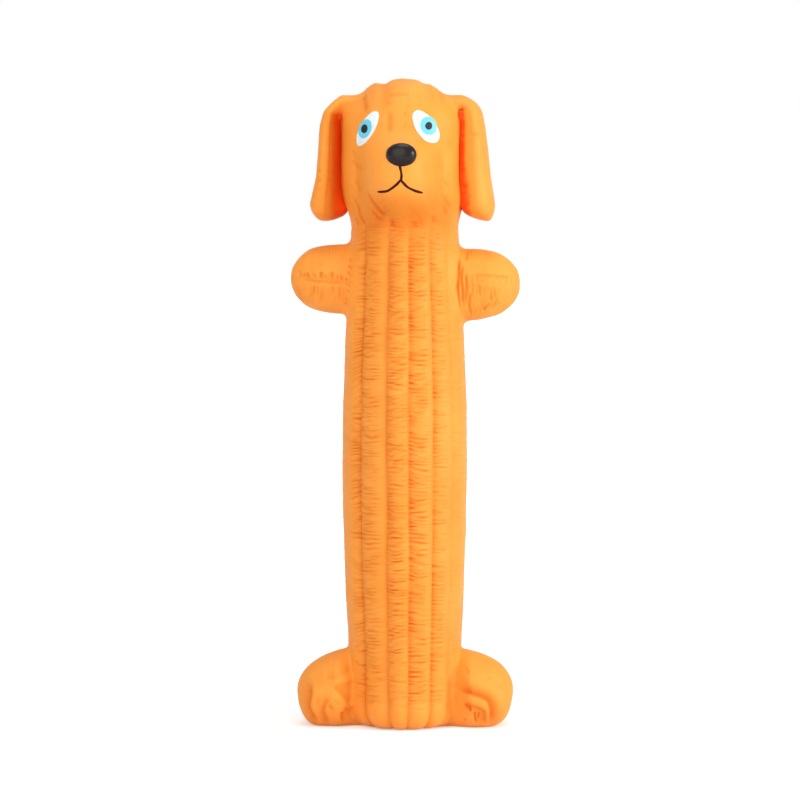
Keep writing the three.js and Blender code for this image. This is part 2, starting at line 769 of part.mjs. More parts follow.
const skin = new THREE.Group();
skin.add(piece("body_skin", bodySkin(limbs), latex));
skin.add(piece("head_skin", headSkin([leftEye, rightEye], mouthPocket), latex));
skin.add(piece("left_ear", ear(1).subtract(headBlock), latex));
skin.add(piece("right_ear", ear(-1).subtract(headBlock), latex));
for (const limb of limbs) skin.add(piece(limb.name, limbSkin(limb), latex));

const face = new THREE.Group();
face.add(piece("nose", nose(), blackGloss));
face.add(piece("mouth_line", mouthLine, linePaint));
for (const [side, marks] of [["left", leftEye], ["right", rightEye]]) {
  face.add(piece(side + "_eye_white", marks.white, whitePaint));
  face.add(piece(side + "_iris", marks.iris, bluePaint));
  face.add(piece(side + "_pupil", marks.pupil, blackGloss));
}

const inside = new THREE.Group();
inside.add(piece("fibre_filling", filling(limbs), fibre));
inside.add(piece("base_plug", plug(), latex));
inside.add(piece("squeaker_housing", squeakerHousing(), whitePlastic));
inside.add(piece("squeaker_reed_block", reedBlock(), whitePlastic));
inside.add(piece("squeaker_reed", reed(), whitePlastic));
inside.add(piece("squeaker_cap", squeakerCap(), whitePlastic));

// The origin is on the floor, midway between the tip of the nose and the back.
const toy = new THREE.Group();
toy.position.y = (faceReach(0, noseHeight) + noseStand - bellyRadius) / 2;
toy.add(skin, face, inside);

export default toy;
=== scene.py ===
import math

import bpy
import numpy as np
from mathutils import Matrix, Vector


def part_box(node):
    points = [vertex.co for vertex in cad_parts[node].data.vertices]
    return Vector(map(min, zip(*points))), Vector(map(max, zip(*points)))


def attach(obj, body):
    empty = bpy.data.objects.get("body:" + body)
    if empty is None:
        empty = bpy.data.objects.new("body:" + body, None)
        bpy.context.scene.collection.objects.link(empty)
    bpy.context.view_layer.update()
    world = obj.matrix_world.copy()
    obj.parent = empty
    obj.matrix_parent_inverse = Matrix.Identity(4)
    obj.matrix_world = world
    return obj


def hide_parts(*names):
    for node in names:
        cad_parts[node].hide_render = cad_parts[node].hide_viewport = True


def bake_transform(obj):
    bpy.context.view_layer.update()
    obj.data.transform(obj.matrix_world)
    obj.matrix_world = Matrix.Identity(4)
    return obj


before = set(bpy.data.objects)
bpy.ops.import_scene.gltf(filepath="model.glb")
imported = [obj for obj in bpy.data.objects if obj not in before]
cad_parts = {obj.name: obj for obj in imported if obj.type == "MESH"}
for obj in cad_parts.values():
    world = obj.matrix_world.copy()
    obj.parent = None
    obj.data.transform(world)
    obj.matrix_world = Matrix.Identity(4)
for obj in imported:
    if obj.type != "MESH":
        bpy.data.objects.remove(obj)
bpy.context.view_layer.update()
scene = bpy.context.scene
scene.view_settings.view_transform = "Standard"

# Body skin
# The toy's skin is one hollow moulding of natural latex, dipped over a carved former and dyed orange.
# Its body is a stick of fourteen upright columns with a crease between each two. As the rubber shrinks
# on the former, fine level crinkles form across every column. All sizes here are millimetres.

MM = 0.001
AXIS_Y = 5.843  # from the origin back to the body's own axis
WALL = 2.4
body_heights = [9.0, 37.0, 55.0, 95.0, 122.0, 140.0, 165.0, 208.0]
body_radii = [23.7, 23.9, 24.8, 26.0, 26.1, 25.7, 24.7, 22.3]
base_flat, base_edge = 15.5, 9.0
plug_hole, floor_thickness = 11.3, 3.2
neck = 208.0
column_shares = np.array([1.16, .85, .96, .86, 1.05, .99, 1.05, 1.01, .99, 1.03, .97, 1.05, .99, 1.03])
column_crinkle = np.array([0.95, 1.15, 1.1, 0.85, 0.3, 0.3, 1.0, 0.9, 1.0, 0.8, 1.0, 0.9, 0.3, 1.0])
crinkle_side = np.array([0.40, 0.45, 0.35, 0.20, 0.2, 0.4, 0.5, 0.3, 0.6, 0.4, 0.5, 0.3, 0.5, 0.84])
crease_shares = np.array([1.0, 1.0, 1.0, 1.0, 0.55, 0.15, 0.8, 1.0, 1.0, 1.0, 1.0, 1.0, 0.8, 0.12])
first_crease = -0.1236  # of a turn from the front
crease_depth = 1.5
fold_depth = 0.46
crinkle_sets = ((1.7, 0.05, 1.0, 0.0), (2.4, -0.30, 0.6, 40.0), (1.15, 0.16, 0.5, 80.0))
girth = 150.0
wander_waves = ((0.010, 17.0, 4.0), (0.006, 7.1, 9.0))  # share of a turn, height, waves round
front_turn, face_from, crown_from = 0.155, 194.0, 247.0  # where the columns leave the face free
arch, short_reach, long_reach = 1.6, 0.10, 0.24
limb_corner, foot_corner, foot_zone = 3.2, 1.9, 70.0
neck_tuck = 0.8
crinkle_shade, crease_shade = 0.62, 0.6


def ease(share):
    """A smooth step: 0 up to 0, 1 from 1 on, three squares less two cubes between."""
    share = np.clip(share, 0.0, 1.0)
    return share * share * (3.0 - 2.0 * share)


def spline(stations, values):
    """A fine table of a uniform Catmull-Rom curve through stations and values, to read by height."""
    knots = np.column_stack([stations, values])
    padded = np.vstack([knots[:1], knots, knots[-1:]])
    t = np.linspace(0.0, 1.0, 60)[:, None]
    rows = []
    for p0, p1, p2, p3 in zip(padded, padded[1:], padded[2:], padded[3:]):
        v0, v1 = (p2 - p0) / 2, (p3 - p1) / 2
        rows.append((2 * p1 - 2 * p2 + v0 + v1) * t**3 + (3 * p2 - 3 * p1 - 2 * v0 - v1) * t**2 + v0 * t + p1)
    return np.vstack(rows)


side_table = spline(body_heights, body_radii)


def body_radius(z):
    """The smooth side: a quarter ellipse at the base's edge, then the curve through the measured radii."""
    drop = 1.0 - np.clip(z, 0.0, base_edge) / base_edge
    edge = base_flat + (body_radii[0] - base_flat) * np.sqrt(1.0 - drop * drop)
    return np.where(z < base_edge, edge, np.interp(z, side_table[:, 0], side_table[:, 1]))


column_edges = np.concatenate([[0.0], np.cumsum(column_shares) / column_shares.sum()])


def column_place(angle):
    """Which column a direction lies in, and how far across it, from 0 at one crease to 1 at the next."""
    share = np.mod(angle / (2 * np.pi) - first_crease, 1.0)
    column = np.clip(np.searchsorted(column_edges, share, side="right") - 1, 0, len(column_shares) - 1)
    across = (share - column_edges[column]) / (column_edges[column + 1] - column_edges[column])
    return column, across


def crease(angle, z):
    """How deep in a crease a direction is: one less the sine across the column to a low power. Two slow
    waves up the body let the crease wander."""
    wander = sum(size * np.sin(z / length + waves * angle) for size, length, waves in wander_waves)
    column, across = column_place(angle + wander)
    nearest = np.where(across < 0.5, column, (column + 1) % len(column_shares))
    return (1.0 - np.sin(np.pi * across) ** 0.85) * crease_shares[nearest]


hash_primes = (73856093, 19349663, 83492791)


def random_field(a, b, c):
    """A smooth random field from -1 to 1: hashed values at whole places, joined by a smooth step."""
    places = [np.floor(x) for x in (a, b, c)]
    parts = [x - p for x, p in zip((a, b, c), places)]
    weights = [f * f * (3.0 - 2.0 * f) for f in parts]
    whole = [p.astype(np.int64) for p in places]
    total = 0.0
    for corner in range(8):
        bits = [(corner >> k) & 1 for k in range(3)]
        mixed = 0
        for place, bit, prime in zip(whole, bits, hash_primes):
            mixed = mixed ^ (place + bit) * prime
        mixed = (mixed ^ (mixed >> 13)) * 1274126177 & 0x7FFFFFFF
        value = (mixed ^ (mixed >> 11)) % 65536 / 32767.5 - 1.0
        for bit, w in zip(bits, weights):
            value = value * (w if bit else 1.0 - w)
        total = total + value
    return total


def crinkles(along, z, lane):
    """Cross folds: a thin valley at each whole value of a height that random fields stretch and bend.
    Another field gives each valley its strength. Each set has its own pitch, slant, share and seed."""
    total = 0.0
    for pitch, slant, share, seed in crinkle_sets:
        turn = random_field(lane * 3.1 + seed, z / 23.0, lane) * 2.0 * slant + slant * 0.3
        phase = (z + turn * along) / pitch + 0.8 * random_field(z / 5.0, lane * 1.7 + seed, lane)
        phase = phase + 0.30 * random_field(along / 3.2 + seed, z / 2.6, lane)
        off = np.abs(phase - np.round(phase))
        strength = ease(0.56 + 1.05 * random_field(along / 4.5 + seed, phase / 1.2, lane * 5.0))
        total = total + share * strength * (1 - np.sin(np.pi * off) ** 0.7)
    return total


spans = np.diff(column_edges)


def column_relief(angle, z):
    """How far a place is into its column's crease, and into a cross fold. Both fade out over the neck below
    the face, and run up the sides and back to the crown. Each column's folds are strongest round one line
    along it, and where that line is near the right crease they are short and lean to and fro."""
    from_front = np.abs(np.mod(angle / (2 * np.pi) + 0.5, 1.0) - 0.5)
    sides = ease((from_front - front_turn) / 0.06) * (1 - ease((z - crown_from) / 10.0))
    kept = np.maximum(sides, 1 - ease((z - face_from) / 24.0))
    column, across = column_place(angle)
    side = crinkle_side[column]
    short = side > 0.7
    along = across * spans[column] * girth
    lean = np.where(short, 0.25 * np.sin(z / 9.0), 0.0)
    arched = z + lean * along - arch * (across - 0.5) ** 2
    folds = crinkles(along, arched, column.astype(float))
    reach = np.where(short, short_reach, long_reach)
    quiet = kept * ease((z - 3.0) / 17.0) * (1 - 0.85 * ease((np.abs(across - side) - reach) / 0.28))
    return crease(angle, z) * kept, folds * quiet * column_crinkle[column]


def body_field(p):
    """Distance outside the body: the radius about the axis less the creased side's radius."""
    angle = np.arctan2(p[..., 0], -p[..., 1])
    reach = body_radius(p[..., 2]) - crease_depth * crease(angle, p[..., 2])
    return np.hypot(p[..., 0], p[..., 1]) - reach


# A limb's middle, the place across where it leaves the body, its length from there, its half height and
# half depth, how far a foot's front is drawn in, and how blunt its tip is above and below.
paw_sizes = dict(y=0.0, deep=12.0, waist=0.0)
foot_sizes = dict(y=-3.0, z=15.5, x=23.7, high=16.5, deep=16.0, waist=0.45)
limb_kinds = {
    "left_front_paw": dict(paw_sizes, side=1, z=184.5, x=23.3, length=24.9, high=15.0, full=(3.2, 2.5)),
    "right_front_paw": dict(paw_sizes, side=-1, z=186.8, x=23.2, length=24.5, high=14.6, full=(3.0, 2.8)),
    "left_hind_foot": dict(foot_sizes, side=1, length=21.9, full=(1.75, 5.0)),
    "right_hind_foot": dict(foot_sizes, side=-1, length=21.2, full=(1.5, 6.0)),
}


def limb_deep(limb, x, ahead):
    """Half the depth of a limb. A foot's front is drawn in beside the body, by an eased step."""
    return limb["deep"] * (1 - limb["waist"] * ahead * (1 - ease((np.abs(x) - 19.0) / 10.0)))


def ellipse_out(dy, dz, deep, high, size=1.0):
    """Distance outside an ellipse: its level less its size, over the level's slope."""
    level = np.sqrt((dy / deep) ** 2 + (dz / high) ** 2) + 1e-6
    slope = np.sqrt((dy / deep**2) ** 2 + (dz / high**2) ** 2) / level + 1e-6
    return (level - size) / slope


def limb_field(p, limb):
    """Distance outside a limb: an elliptic tube along X that narrows towards its tip like an egg."""
    dy, dz = p[..., 1] - limb["y"], p[..., 2] - limb["z"]
    deep = limb_deep(limb, p[..., 0], dy < 0)
    along = np.clip((p[..., 0] * limb["side"] - limb["x"]) / limb["length"], 0.0, 1.0)
    upper, lower = limb["full"]
    size = np.sqrt(1.0 - along ** (lower + (upper - lower) * ease(0.5 + dz / limb["high"])))
    other_side = np.where(p[..., 0] * limb["side"] < 0, 60.0, 0.0)
    return ellipse_out(dy, dz, deep, limb["high"], size) + other_side


def limbs_field(p):
    """Distance outside the nearest limb."""
    return np.minimum.reduce([limb_field(p, limb) for limb in limb_kinds.values()])


def outward(points, middle):
    """Unit normals of a grid whose columns run round: the cross product of its two differences."""
    across = np.roll(points, -1, axis=1) - np.roll(points, 1, axis=1)
    along = np.gradient(points, axis=0)
    normal = np.cross(across, along)
    normal /= np.linalg.norm(normal, axis=-1, keepdims=True) + 1e-9
    flip = np.sign(np.sum(normal * (points - middle), axis=-1, keepdims=True))
    return normal * np.where(flip == 0, 1.0, flip)


def swell(points, normal, other, reach, sink=0.35):
    """Fills the corner where another form meets this one. Each point moves out by t until the smooth
    union of the two distances is nought, and sinks again past the corner's middle, where the other's
    own skin takes over. Also gives how near the corner is, from 0 to 1."""
    t = np.zeros(points.shape[:-1])
    for _ in range(12):
        b = other(points + normal * t[..., None])
        blend = np.maximum(reach - np.abs(t - b), 0.0) / reach
        t = np.clip(t - (np.minimum(t, b) - blend * blend * reach / 4.0), 0.0, reach / 2.0)
    past = ease((t - b) / (0.35 * reach))
    near = ease(1.0 - np.abs(t - b) / (1.4 * reach))
    return t - sink * past, np.maximum(near, past)


def full_turn(count):
    """So many directions, evenly spaced round a full turn."""
    return np.linspace(0, 2 * np.pi, count, endpoint=False)


def turned(r, z, around):
    """Rings about the body's axis, one for each radius and height, as if turned on a lathe."""
    r, z = np.array(r)[:, None], np.array(z)[:, None]
    return np.stack([r * np.sin(around), -r * np.cos(around), z + 0 * around], -1)


def new_object(name, data):
    """An object of the scene that holds a mesh, a lamp or a camera."""
    made = bpy.data.objects.new(name, data)
    scene.collection.objects.link(made)
    return made


def skin_object(name, rows, poles=(), painted_shade=None):
    """A mesh from rows of points that run round. The first and last row close on a pole each, or on each
    other when there are no poles. Faces are turned outwards by the sign of the volume."""
    count, around = rows.shape[:2]
    points = np.vstack([rows.reshape(-1, 3), *poles])
    index = np.arange(count * around).reshape(count, around)
    lower, upper = index, np.roll(index, -1, axis=0)
    fans = np.zeros((0, 3), int)
    if poles:
        lower, upper = lower[:-1], upper[:-1]
        first, last = (np.full(around, count * around + k) for k in range(2))
        fans = np.vstack([np.stack([np.roll(index[0], -1), index[0], first], -1),
                          np.stack([last, index[-1], np.roll(index[-1], -1)], -1)])
    quads = np.stack([lower, np.roll(lower, -1, 1), np.roll(upper, -1, 1), upper], -1).reshape(-1, 4)
    thirds = np.vstack([quads[:, [0, 1, 2]], quads[:, [0, 2, 3]], fans])
    a, b, c = (points[thirds[:, k]] for k in range(3))
    if np.einsum("ij,ij->i", a, np.cross(b, c)).sum() < 0:
        quads, fans = quads[:, ::-1], fans[:, ::-1]
    mesh = bpy.data.meshes.new(name)
    mesh.from_pydata((points + [0.0, AXIS_Y, 0.0]) * MM, [], quads.tolist() + fans.tolist())
    mesh.validate()
    mesh.shade_smooth()
    # The painted shade is kept on the mesh as a point attribute for the latex shader.
    if painted_shade is not None:
        values = np.concatenate([painted_shade.ravel(), np.zeros(len(poles))])
        mesh.attributes.new("painted_shade", "FLOAT", "POINT").data.foreach_set("value", values.astype(np.float32))
    return new_object(name, mesh)


class Value:
    """One output socket. Sums and products on it add Math nodes to its tree."""

    def __init__(self, nodes, socket):
        self.nodes, self.socket = nodes, socket

    def math(self, operation, other):
        return self.nodes.node("ShaderNodeMath", {"operation": operation}, {0: self, 1: other})

    def __add__(self, other):
        return self.math("ADD", other)

    def __mul__(self, other):
        return self.math("MULTIPLY", other)

    __radd__, __rmul__ = __add__, __mul__


class Nodes:
    """The nodes of one tree, a material's or the world's."""

    def __init__(self, tree):
        self.tree = tree

    def put(self, socket, value):
        if isinstance(value, Value):
            self.tree.links.new(value.socket, socket)
        else:
            socket.default_value = value

    def node(self, kind, settings={}, sockets={}, out=0):
        """Any node: its settings first, then the values or links of its sockets."""
        made = self.tree.nodes.new(kind)
        for key, value in settings.items():
            setattr(made, key, value)
        for key, value in sockets.items():
            self.put(made.inputs[key], value)
        return Value(self, made.outputs[out])


class Finish(Nodes):
    """A piece's material, round one Principled shader."""

    def __init__(self, piece, name, **constants):
        material = bpy.data.materials.new(name)
        material.use_nodes = True
        piece.data.materials.append(material)
        super().__init__(material.node_tree)
        for key, value in constants.items():
            self.feed(key.replace("_", " "), value)

    def feed(self, name, value):
        """Sets or links a socket of the shader."""
        self.put(self.tree.nodes["Principled BSDF"].inputs[name], value)

    def places(self, scale=(1.0, 1.0, 1.0)):
        """Object coordinates, stretched by a scale along each axis."""
        coordinates = self.node("ShaderNodeTexCoord", out="Object")
        return self.node("ShaderNodeMapping", sockets={"Vector": coordinates, "Scale": scale})

    def noise(self, scale, stretch=(1.0, 1.0, 1.0), detail=2.0, rough=0.5):
        return self.node("ShaderNodeTexNoise", sockets={
            "Vector": self.places(stretch), "Scale": scale, "Detail": detail, "Roughness": rough})

    def remap(self, value, low, high, to_low=0.0, to_high=1.0):
        return self.node("ShaderNodeMapRange", sockets={
            "Value": value, "From Min": low, "From Max": high, "To Min": to_low, "To Max": to_high})

    def mix(self, factor, first, second):
        """A colour between two colours."""
        return self.node("ShaderNodeMix", {"data_type": "RGBA"}, {0: factor, 6: first, 7: second}, out=2)

    def mottle(self, first, second, low, scale, **grain):
        """A base colour in soft patches of two colours. Gives the patches, from 0 to 1."""
        patches = self.remap(self.noise(scale, **grain), low, 1.0 - low)
        self.feed("Base Color", self.mix(patches, first, second))
        return patches

    def bump(self, height, distance):
        self.feed("Normal", self.node("ShaderNodeBump", sockets={"Height": height, "Distance": distance}))


def linear(red, green, blue):
    """An sRGB colour of 0 to 255 as the linear colour that a shader takes."""
    parts = [c / 255.0 for c in (red, green, blue)]
    return (*(c / 12.92 if c <= 0.04045 else ((c + 0.055) / 1.055) ** 2.4 for c in parts), 1.0)


def latex(piece, stretch, bump_share=1.0):
    """Dyed latex: a satin orange with faint cloudy patches, darkened by painted shade in the folds and
    creases, painted deep red where it is strongest, with a fine skin of crinkles in the bump, stretched the
    way that the piece's wrinkles run."""
    finish = Finish(piece, "orange_" + piece.name, IOR=1.45, Specular_IOR_Level=0.22, Coat_Roughness=0.55,
                    Subsurface_Weight=0.10, Subsurface_Scale=0.0012, Subsurface_Radius=(1.0, 0.35, 0.12))
    cloud = finish.remap(finish.noise(45.0, detail=3.0), 0.35, 0.65)
    orange = finish.mix(cloud, linear(245, 148, 46), linear(249, 156, 55))
    painted_shade = finish.node("ShaderNodeAttribute", {"attribute_name": "painted_shade"}, out="Fac")
    # Painted shade: the orange is darkened in the folds and creases, and turned deep red where the painted
    # shade is strongest.
    deep = finish.mix(painted_shade * 0.75, orange, linear(200, 92, 10))
    valley = finish.mix(finish.remap(painted_shade, 0.5, 1.6), deep, linear(238, 72, 3))
    finish.feed("Base Color", valley)
    finish.feed("Coat Weight", finish.remap(painted_shade, 0.0, 0.7, 0.4, 0.0))
    fine = finish.noise(900.0, stretch, detail=3.0, rough=0.6)
    soft = finish.noise(260.0, stretch, detail=1.0)
    finish.feed("Roughness", finish.remap(soft, 0.3, 0.7, 0.58, 0.72))
    finish.bump(fine * 0.4 + soft * 0.6, 0.0005 * bump_share)


def painted_chin_shade(angle, z):
    """Painted shade under the chin: how much the skin's colour is darkened, a bell up the neck, eased away
    from the front.
    """
    return 0.5 * np.exp(-(((z - 212.0) / 11.0) ** 2)) * ease((np.cos(angle) - 0.2) / 0.5)


per_column = 10
step = np.arange(per_column) / per_column
dense = step - 0.42 * np.sin(2 * np.pi * step) / (2 * np.pi)
body_angles = 2 * np.pi * (first_crease + (column_edges[:-1, None] + spans[:, None] * dense).ravel())
edge_z = base_edge * (1 - np.cos(np.linspace(0, np.pi / 2, 22)))
side_z = np.concatenate([edge_z, np.linspace(9.4, 211.0, 860)])
angle, height = np.meshgrid(body_angles, side_z)
dip, folds = column_relief(angle, height)
notch = 1.0 + 0.3 * ease(1.0 - height / 10.0)
radius = body_radius(height) - crease_depth * dip * notch
points = np.stack([radius * np.sin(angle), -radius * np.cos(angle), height], -1)
normal = outward(points, np.stack([0 * height, 0 * height, height], -1))
raised, near = swell(points, normal, limbs_field, np.where(height < foot_zone, foot_corner, limb_corner))
uneven = 0.16 * random_field(points[..., 0] / 6, height / 9, points[..., 1] / 6)
uneven *= 1 - ease((height - 196.0) / 9.0)
lift = raised + (uneven - fold_depth * folds) * (1 - near) - neck_tuck * ease((height - neck) / 3.0)
points = points + normal * lift[..., None]
out_from_axis = np.hypot(points[..., 0], points[..., 1])
points[..., 2] = np.maximum(points[..., 2], 0.15 * near * ease(out_from_axis - 15.8))
# Painted shade: the body's colour is darkened in the crinkles, in the creases and under the chin.
body_painted_shade = crinkle_shade * folds * (1 - near) + crease_shade * dip**2.5 + painted_chin_shade(angle, height)
body_painted_shade = np.clip(body_painted_shade, 0, 1)
hole = turned([plug_hole], [0.0], body_angles)
under = hole + (points[0] - hole) * np.linspace(0, 1, 5)[:-1, None, None]
inner_z = np.array([211.0, 175.0, 140.0, 105.0, 70.0, 40.0, 20.0, 9.0, 5.2, floor_thickness])
inner_r = np.concatenate([body_radius(inner_z) - WALL, [plug_hole]])
inner = turned(inner_r, np.append(inner_z, floor_thickness), body_angles)
rows = np.concatenate([under, points, inner])
painted_shade = np.zeros(rows.shape[:2])
painted_shade[len(under):len(under) + len(points)] = body_painted_shade
body_skin = skin_object("latex_body", rows, painted_shade=painted_shade)
latex(body_skin, (0.16, 0.16, 1.0))
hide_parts("body_skin")
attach(body_skin, "toy")

# Head skin
# The head is the top of the same moulding: cheeks over the neck, a broad soft muzzle and a crown with
# three lumps that run from the forehead to the back. Its face is smooth, with a few mould marks and
# jaw wrinkles, and the columns start again behind the ears.

neck_half, head_half_width, head_half_depth, cheek_rise = 22.3, 25.4, 24.5, 15.0
widest, top = 240.0, 270.0
crown_z = [240.0, 247.0, 252.0, 256.0, 260.0, 263.0, 266.0, 268.2, 269.5, 270.0]
crown_x = [25.4, 25.4, 25.3, 24.6, 20.6, 17.1, 14.6, 11.6, 7.2, 0.0]
muzzle = dict(out=11.5, half_width=18.5, half_height=19.0, chin_height=21.5, z=230.0)
crown_grooves = [(-8.6, 1.5), (8.4, 0.8)]  # place across, depth
head_aside = -1.2
root_y, root_z, root_broad, root_thick, root_start = 1.0, 259.3, 9.0, 3.9, 11.0
mark_limit, mark_shade, fine_depth, fine_shade, ear_shade = 0.9, 0.6, 0.13, 0.25, 0.7
face_marks = [
    ([(-7.0, 262.9), (-2.0, 263.3), (3.5, 262.9)], 0.55, 0.45), ([(-7.8, 259.6), (-4.6, 259.7)], 0.45, 0.35),
    ([(0.2, 260.9), (3.8, 260.8)], 0.45, 0.30), ([(0.3, 258.0), (3.4, 258.1)], 0.45, 0.30),
    ([(0.4, 255.2), (1.4, 255.2)], 0.5, 0.45), ([(0.6, 250.3), (1.6, 250.3)], 0.5, 0.40),
    ([(-5.6, 257.0), (-5.4, 251.0), (-5.9, 246.5)], 1.3, 0.45), ([(8.9, 257.0), (9.6, 252.0)], 1.3, 0.30),
    ([(-16.6, 265.0), (-16.2, 260.0), (-15.2, 255.0)], 1.0, 0.9),
    ([(-14.8, 224.5), (-12.6, 219.3), (-9.0, 215.0), (-6.4, 212.6)], 0.75, 0.75),
    ([(-13.2, 216.2), (-10.0, 212.4), (-7.4, 211.3)], 0.7, 0.45),
    ([(17.0, 222.5), (18.6, 218.8), (20.0, 216.2)], 0.8, 0.45), ([(-21.5, 241.0), (-19.4, 236.4)], 0.8, 0.35),
    ([(-21.2, 236.8), (-18.6, 232.2)], 0.7, 0.35), ([(-20.4, 229.4), (-17.2, 222.4)], 0.7, 0.40),
    ([(17.4, 228.0), (19.8, 224.6)], 0.7, 0.25), ([(-20.6, 221.0), (-18.4, 216.6), (-17.6, 212.8)], 0.6, 0.5),
    ([(-18.2, 213.6), (-15.6, 209.8)], 0.5, 0.45), ([(-20.4, 212.8), (-18.6, 209.6)], 0.5, 0.45),
    ([(-4.0, 212.4), (-4.4, 208.6), (-4.2, 205.0)], 0.9, 0.4), ([(5.2, 211.4), (5.4, 207.6)], 0.9, 0.3),
    ([(12.2, 213.6), (13.4, 210.2)], 0.6, 0.3), ([(-19.6, 234.8), (-16.4, 231.6)], 0.6, 0.3),
    ([(16.6, 219.0), (18.4, 213.4)], 0.6, 0.35)]  # path across and up, half width, depth


def head_halves(z):
    """Half width and half depth of the head: an eased step out over the neck, then the crown's
    measured profile from the front, and a full ellipse of power 2.6 from the side."""
    cheek = ease((z - neck) / cheek_rise)
    rise = np.clip((z - widest) / (top - widest), 0.0, 1.0)
    cheeks = neck_half + (head_half_width - neck_half) * cheek
    wide = np.where(z < widest, cheeks, np.interp(z, crown_z, crown_x))
    deep = (neck_half + (head_half_depth - neck_half) * cheek) * np.sqrt(1.0 - rise**2.6)
    return wide, deep


def head_shift(z):
    """How far the head's middle lies to one side: an eased step over the neck."""
    return head_aside * ease((z - 214.0) / 14.0)


def muzzle_out(x, z):
    """How far the muzzle stands out: two blunt bells multiplied, one across and one up."""
    sideways = np.minimum(1.0, np.abs(x - head_shift(z)) / muzzle["half_width"])
    up = np.clip((z - muzzle["z"]) / muzzle["half_height"], 0.0, 1.0) ** 3
    down = np.clip((muzzle["z"] - z) / muzzle["chin_height"], 0.0, 1.0) ** 2.2
    return muzzle["out"] * (1 - sideways**4) ** 2 * (1 - up - down) ** 2


def head_points(angle, z):
    """The head's smooth surface: an ellipse at each height, with the muzzle pushed forwards."""
    wide, deep = head_halves(z)
    x = wide * np.sin(angle) + head_shift(z)
    front = np.where(np.cos(angle) > 0, muzzle_out(x, z), 0.0)
    return np.stack([x, -deep * np.cos(angle) - front, z + 0 * x], -1)


def face_y(x, z):
    """Where the face is at a place across and up it."""
    wide, deep = head_halves(z)
    across = (x - head_shift(z)) / np.maximum(wide, 1e-6)
    return -deep * np.sqrt(np.clip(1 - across**2, 0, 1)) - muzzle_out(x, z)


def line_distance(x, z, path):
    """Distance from each place to a line through points, how far along the line, from 0 to 1, and whether
    the place lies on the line's left, by the sign of a cross product."""
    path = np.array(path, float)
    best, where, left = np.full(np.shape(x), 1e9), np.zeros(np.shape(x)), np.zeros(np.shape(x), bool)
    for k, (a, b) in enumerate(zip(path[:-1], path[1:])):
        span = b - a
        t = np.clip(((x - a[0]) * span[0] + (z - a[1]) * span[1]) / (span @ span), 0, 1)
        d = np.hypot(x - a[0] - t * span[0], z - a[1] - t * span[1])
        where = np.where(d < best, (k + t) / (len(path) - 1), where)
        left = np.where(d < best, span[0] * (z - a[1]) > span[1] * (x - a[0]), left)
        best = np.minimum(best, d)
    return best, where, left


def pressed(x, z, path, width, fade=0.25):
    """A fold along a line: a bell across it that fades towards its ends."""
    distance, along, _ = line_distance(x, z, path)
    return np.exp(-((distance / width) ** 2)) * ease(along / fade) * ease((1 - along) / fade)


def pressed_in(x, z, lines, fade=0.25):
    """The folds of a list of lines, each a path, a half width and a depth, added up."""
    return sum(pressed(x, z, path, width, fade) * depth for path, width, depth in lines)


def rolled(x, z, path, width):
    """The edge of a roll along a line: a bell that is three times as wide on the line's left."""
    distance, along, left = line_distance(x, z, spline(*np.array(path).T)[::10])
    width = np.where(left, 3.0, 0.9) * width
    return np.exp(-((distance / width) ** 2)) * ease(along / 0.2) * ease((1 - along) / 0.2)


def ear_root_field(p):
    """Distance outside an ear's root: an elliptic tube along X from inside the head to the bend."""
    short = np.maximum(root_start - np.abs(p[..., 0]), 0.0)
    return ellipse_out(p[..., 1] - root_y, p[..., 2] - root_z, root_broad, root_thick) + 2.0 * short


head_angles = full_turn(300)
head_angles -= 0.22 * np.sin(head_angles)
head_z = np.concatenate([np.linspace(204.5, widest, 92)[:-1],
                         widest + (top - widest) * np.sin(np.linspace(0, np.pi / 2 - 0.012, 84))])
angle, height = np.meshgrid(head_angles, head_z)
points = head_points(angle, height)
normal = outward(points, np.stack([0 * height, 0 * height, np.minimum(height, 250.0)], -1))
dip, folds = column_relief(angle, height)
x, y = points[..., 0], points[..., 1]
grooves = sum(deep * np.exp(-(((x - place) / 2.6) ** 2)) for place, deep in crown_grooves)
crown_share = ease((height - 252.0) / 15.0)
raised, near = swell(points, normal, ear_root_field, 3.0)
face = ease(-y / 8.0)
marks = 1.2 * pressed_in(x, height, face_marks)
marks = mark_limit * np.tanh(marks / mark_limit)
uneven = 0.20 * random_field(x / 8.0, height / 9.0, y / 8.0)
uneven += 0.08 * random_field(x / 3.4, height / 3.0, y / 3.4)
uneven *= ease((height - neck) / 9.0)
# Painted shade on the head's side beside each ear, on the front, where the crease between head and ear shades
# it.
shade_beside_ear = ease((np.abs(x - head_shift(height)) - 23.4) / 1.4) * ease((height - 211.0) / 6.0)
shade_beside_ear *= (1 - ease((height - 253.0) / 4.0)) * ease((-2.0 - y) / 3.0)
off_muzzle = ease((np.hypot((x - head_shift(height)) / 13.0, (height - 232.0) / 12.0) - 0.85) / 0.4)
patches = ease(0.25 + 1.3 * random_field(x / 7.0, height / 9.0, 0 * x + 3.0)) * off_muzzle * face
fine = crinkles(height / 1.5 + 3.0, (x + 0.35 * (height - 230.0)) * 1.2, 0 * x + 3.0) * patches
lift = raised + (uneven - crease_depth * dip - grooves * crown_share
                 - fold_depth * folds - marks * face - fine_depth * fine) * (1 - near)
lift -= neck_tuck * ease((neck - height) / 3.0)
points = points + normal * lift[..., None]
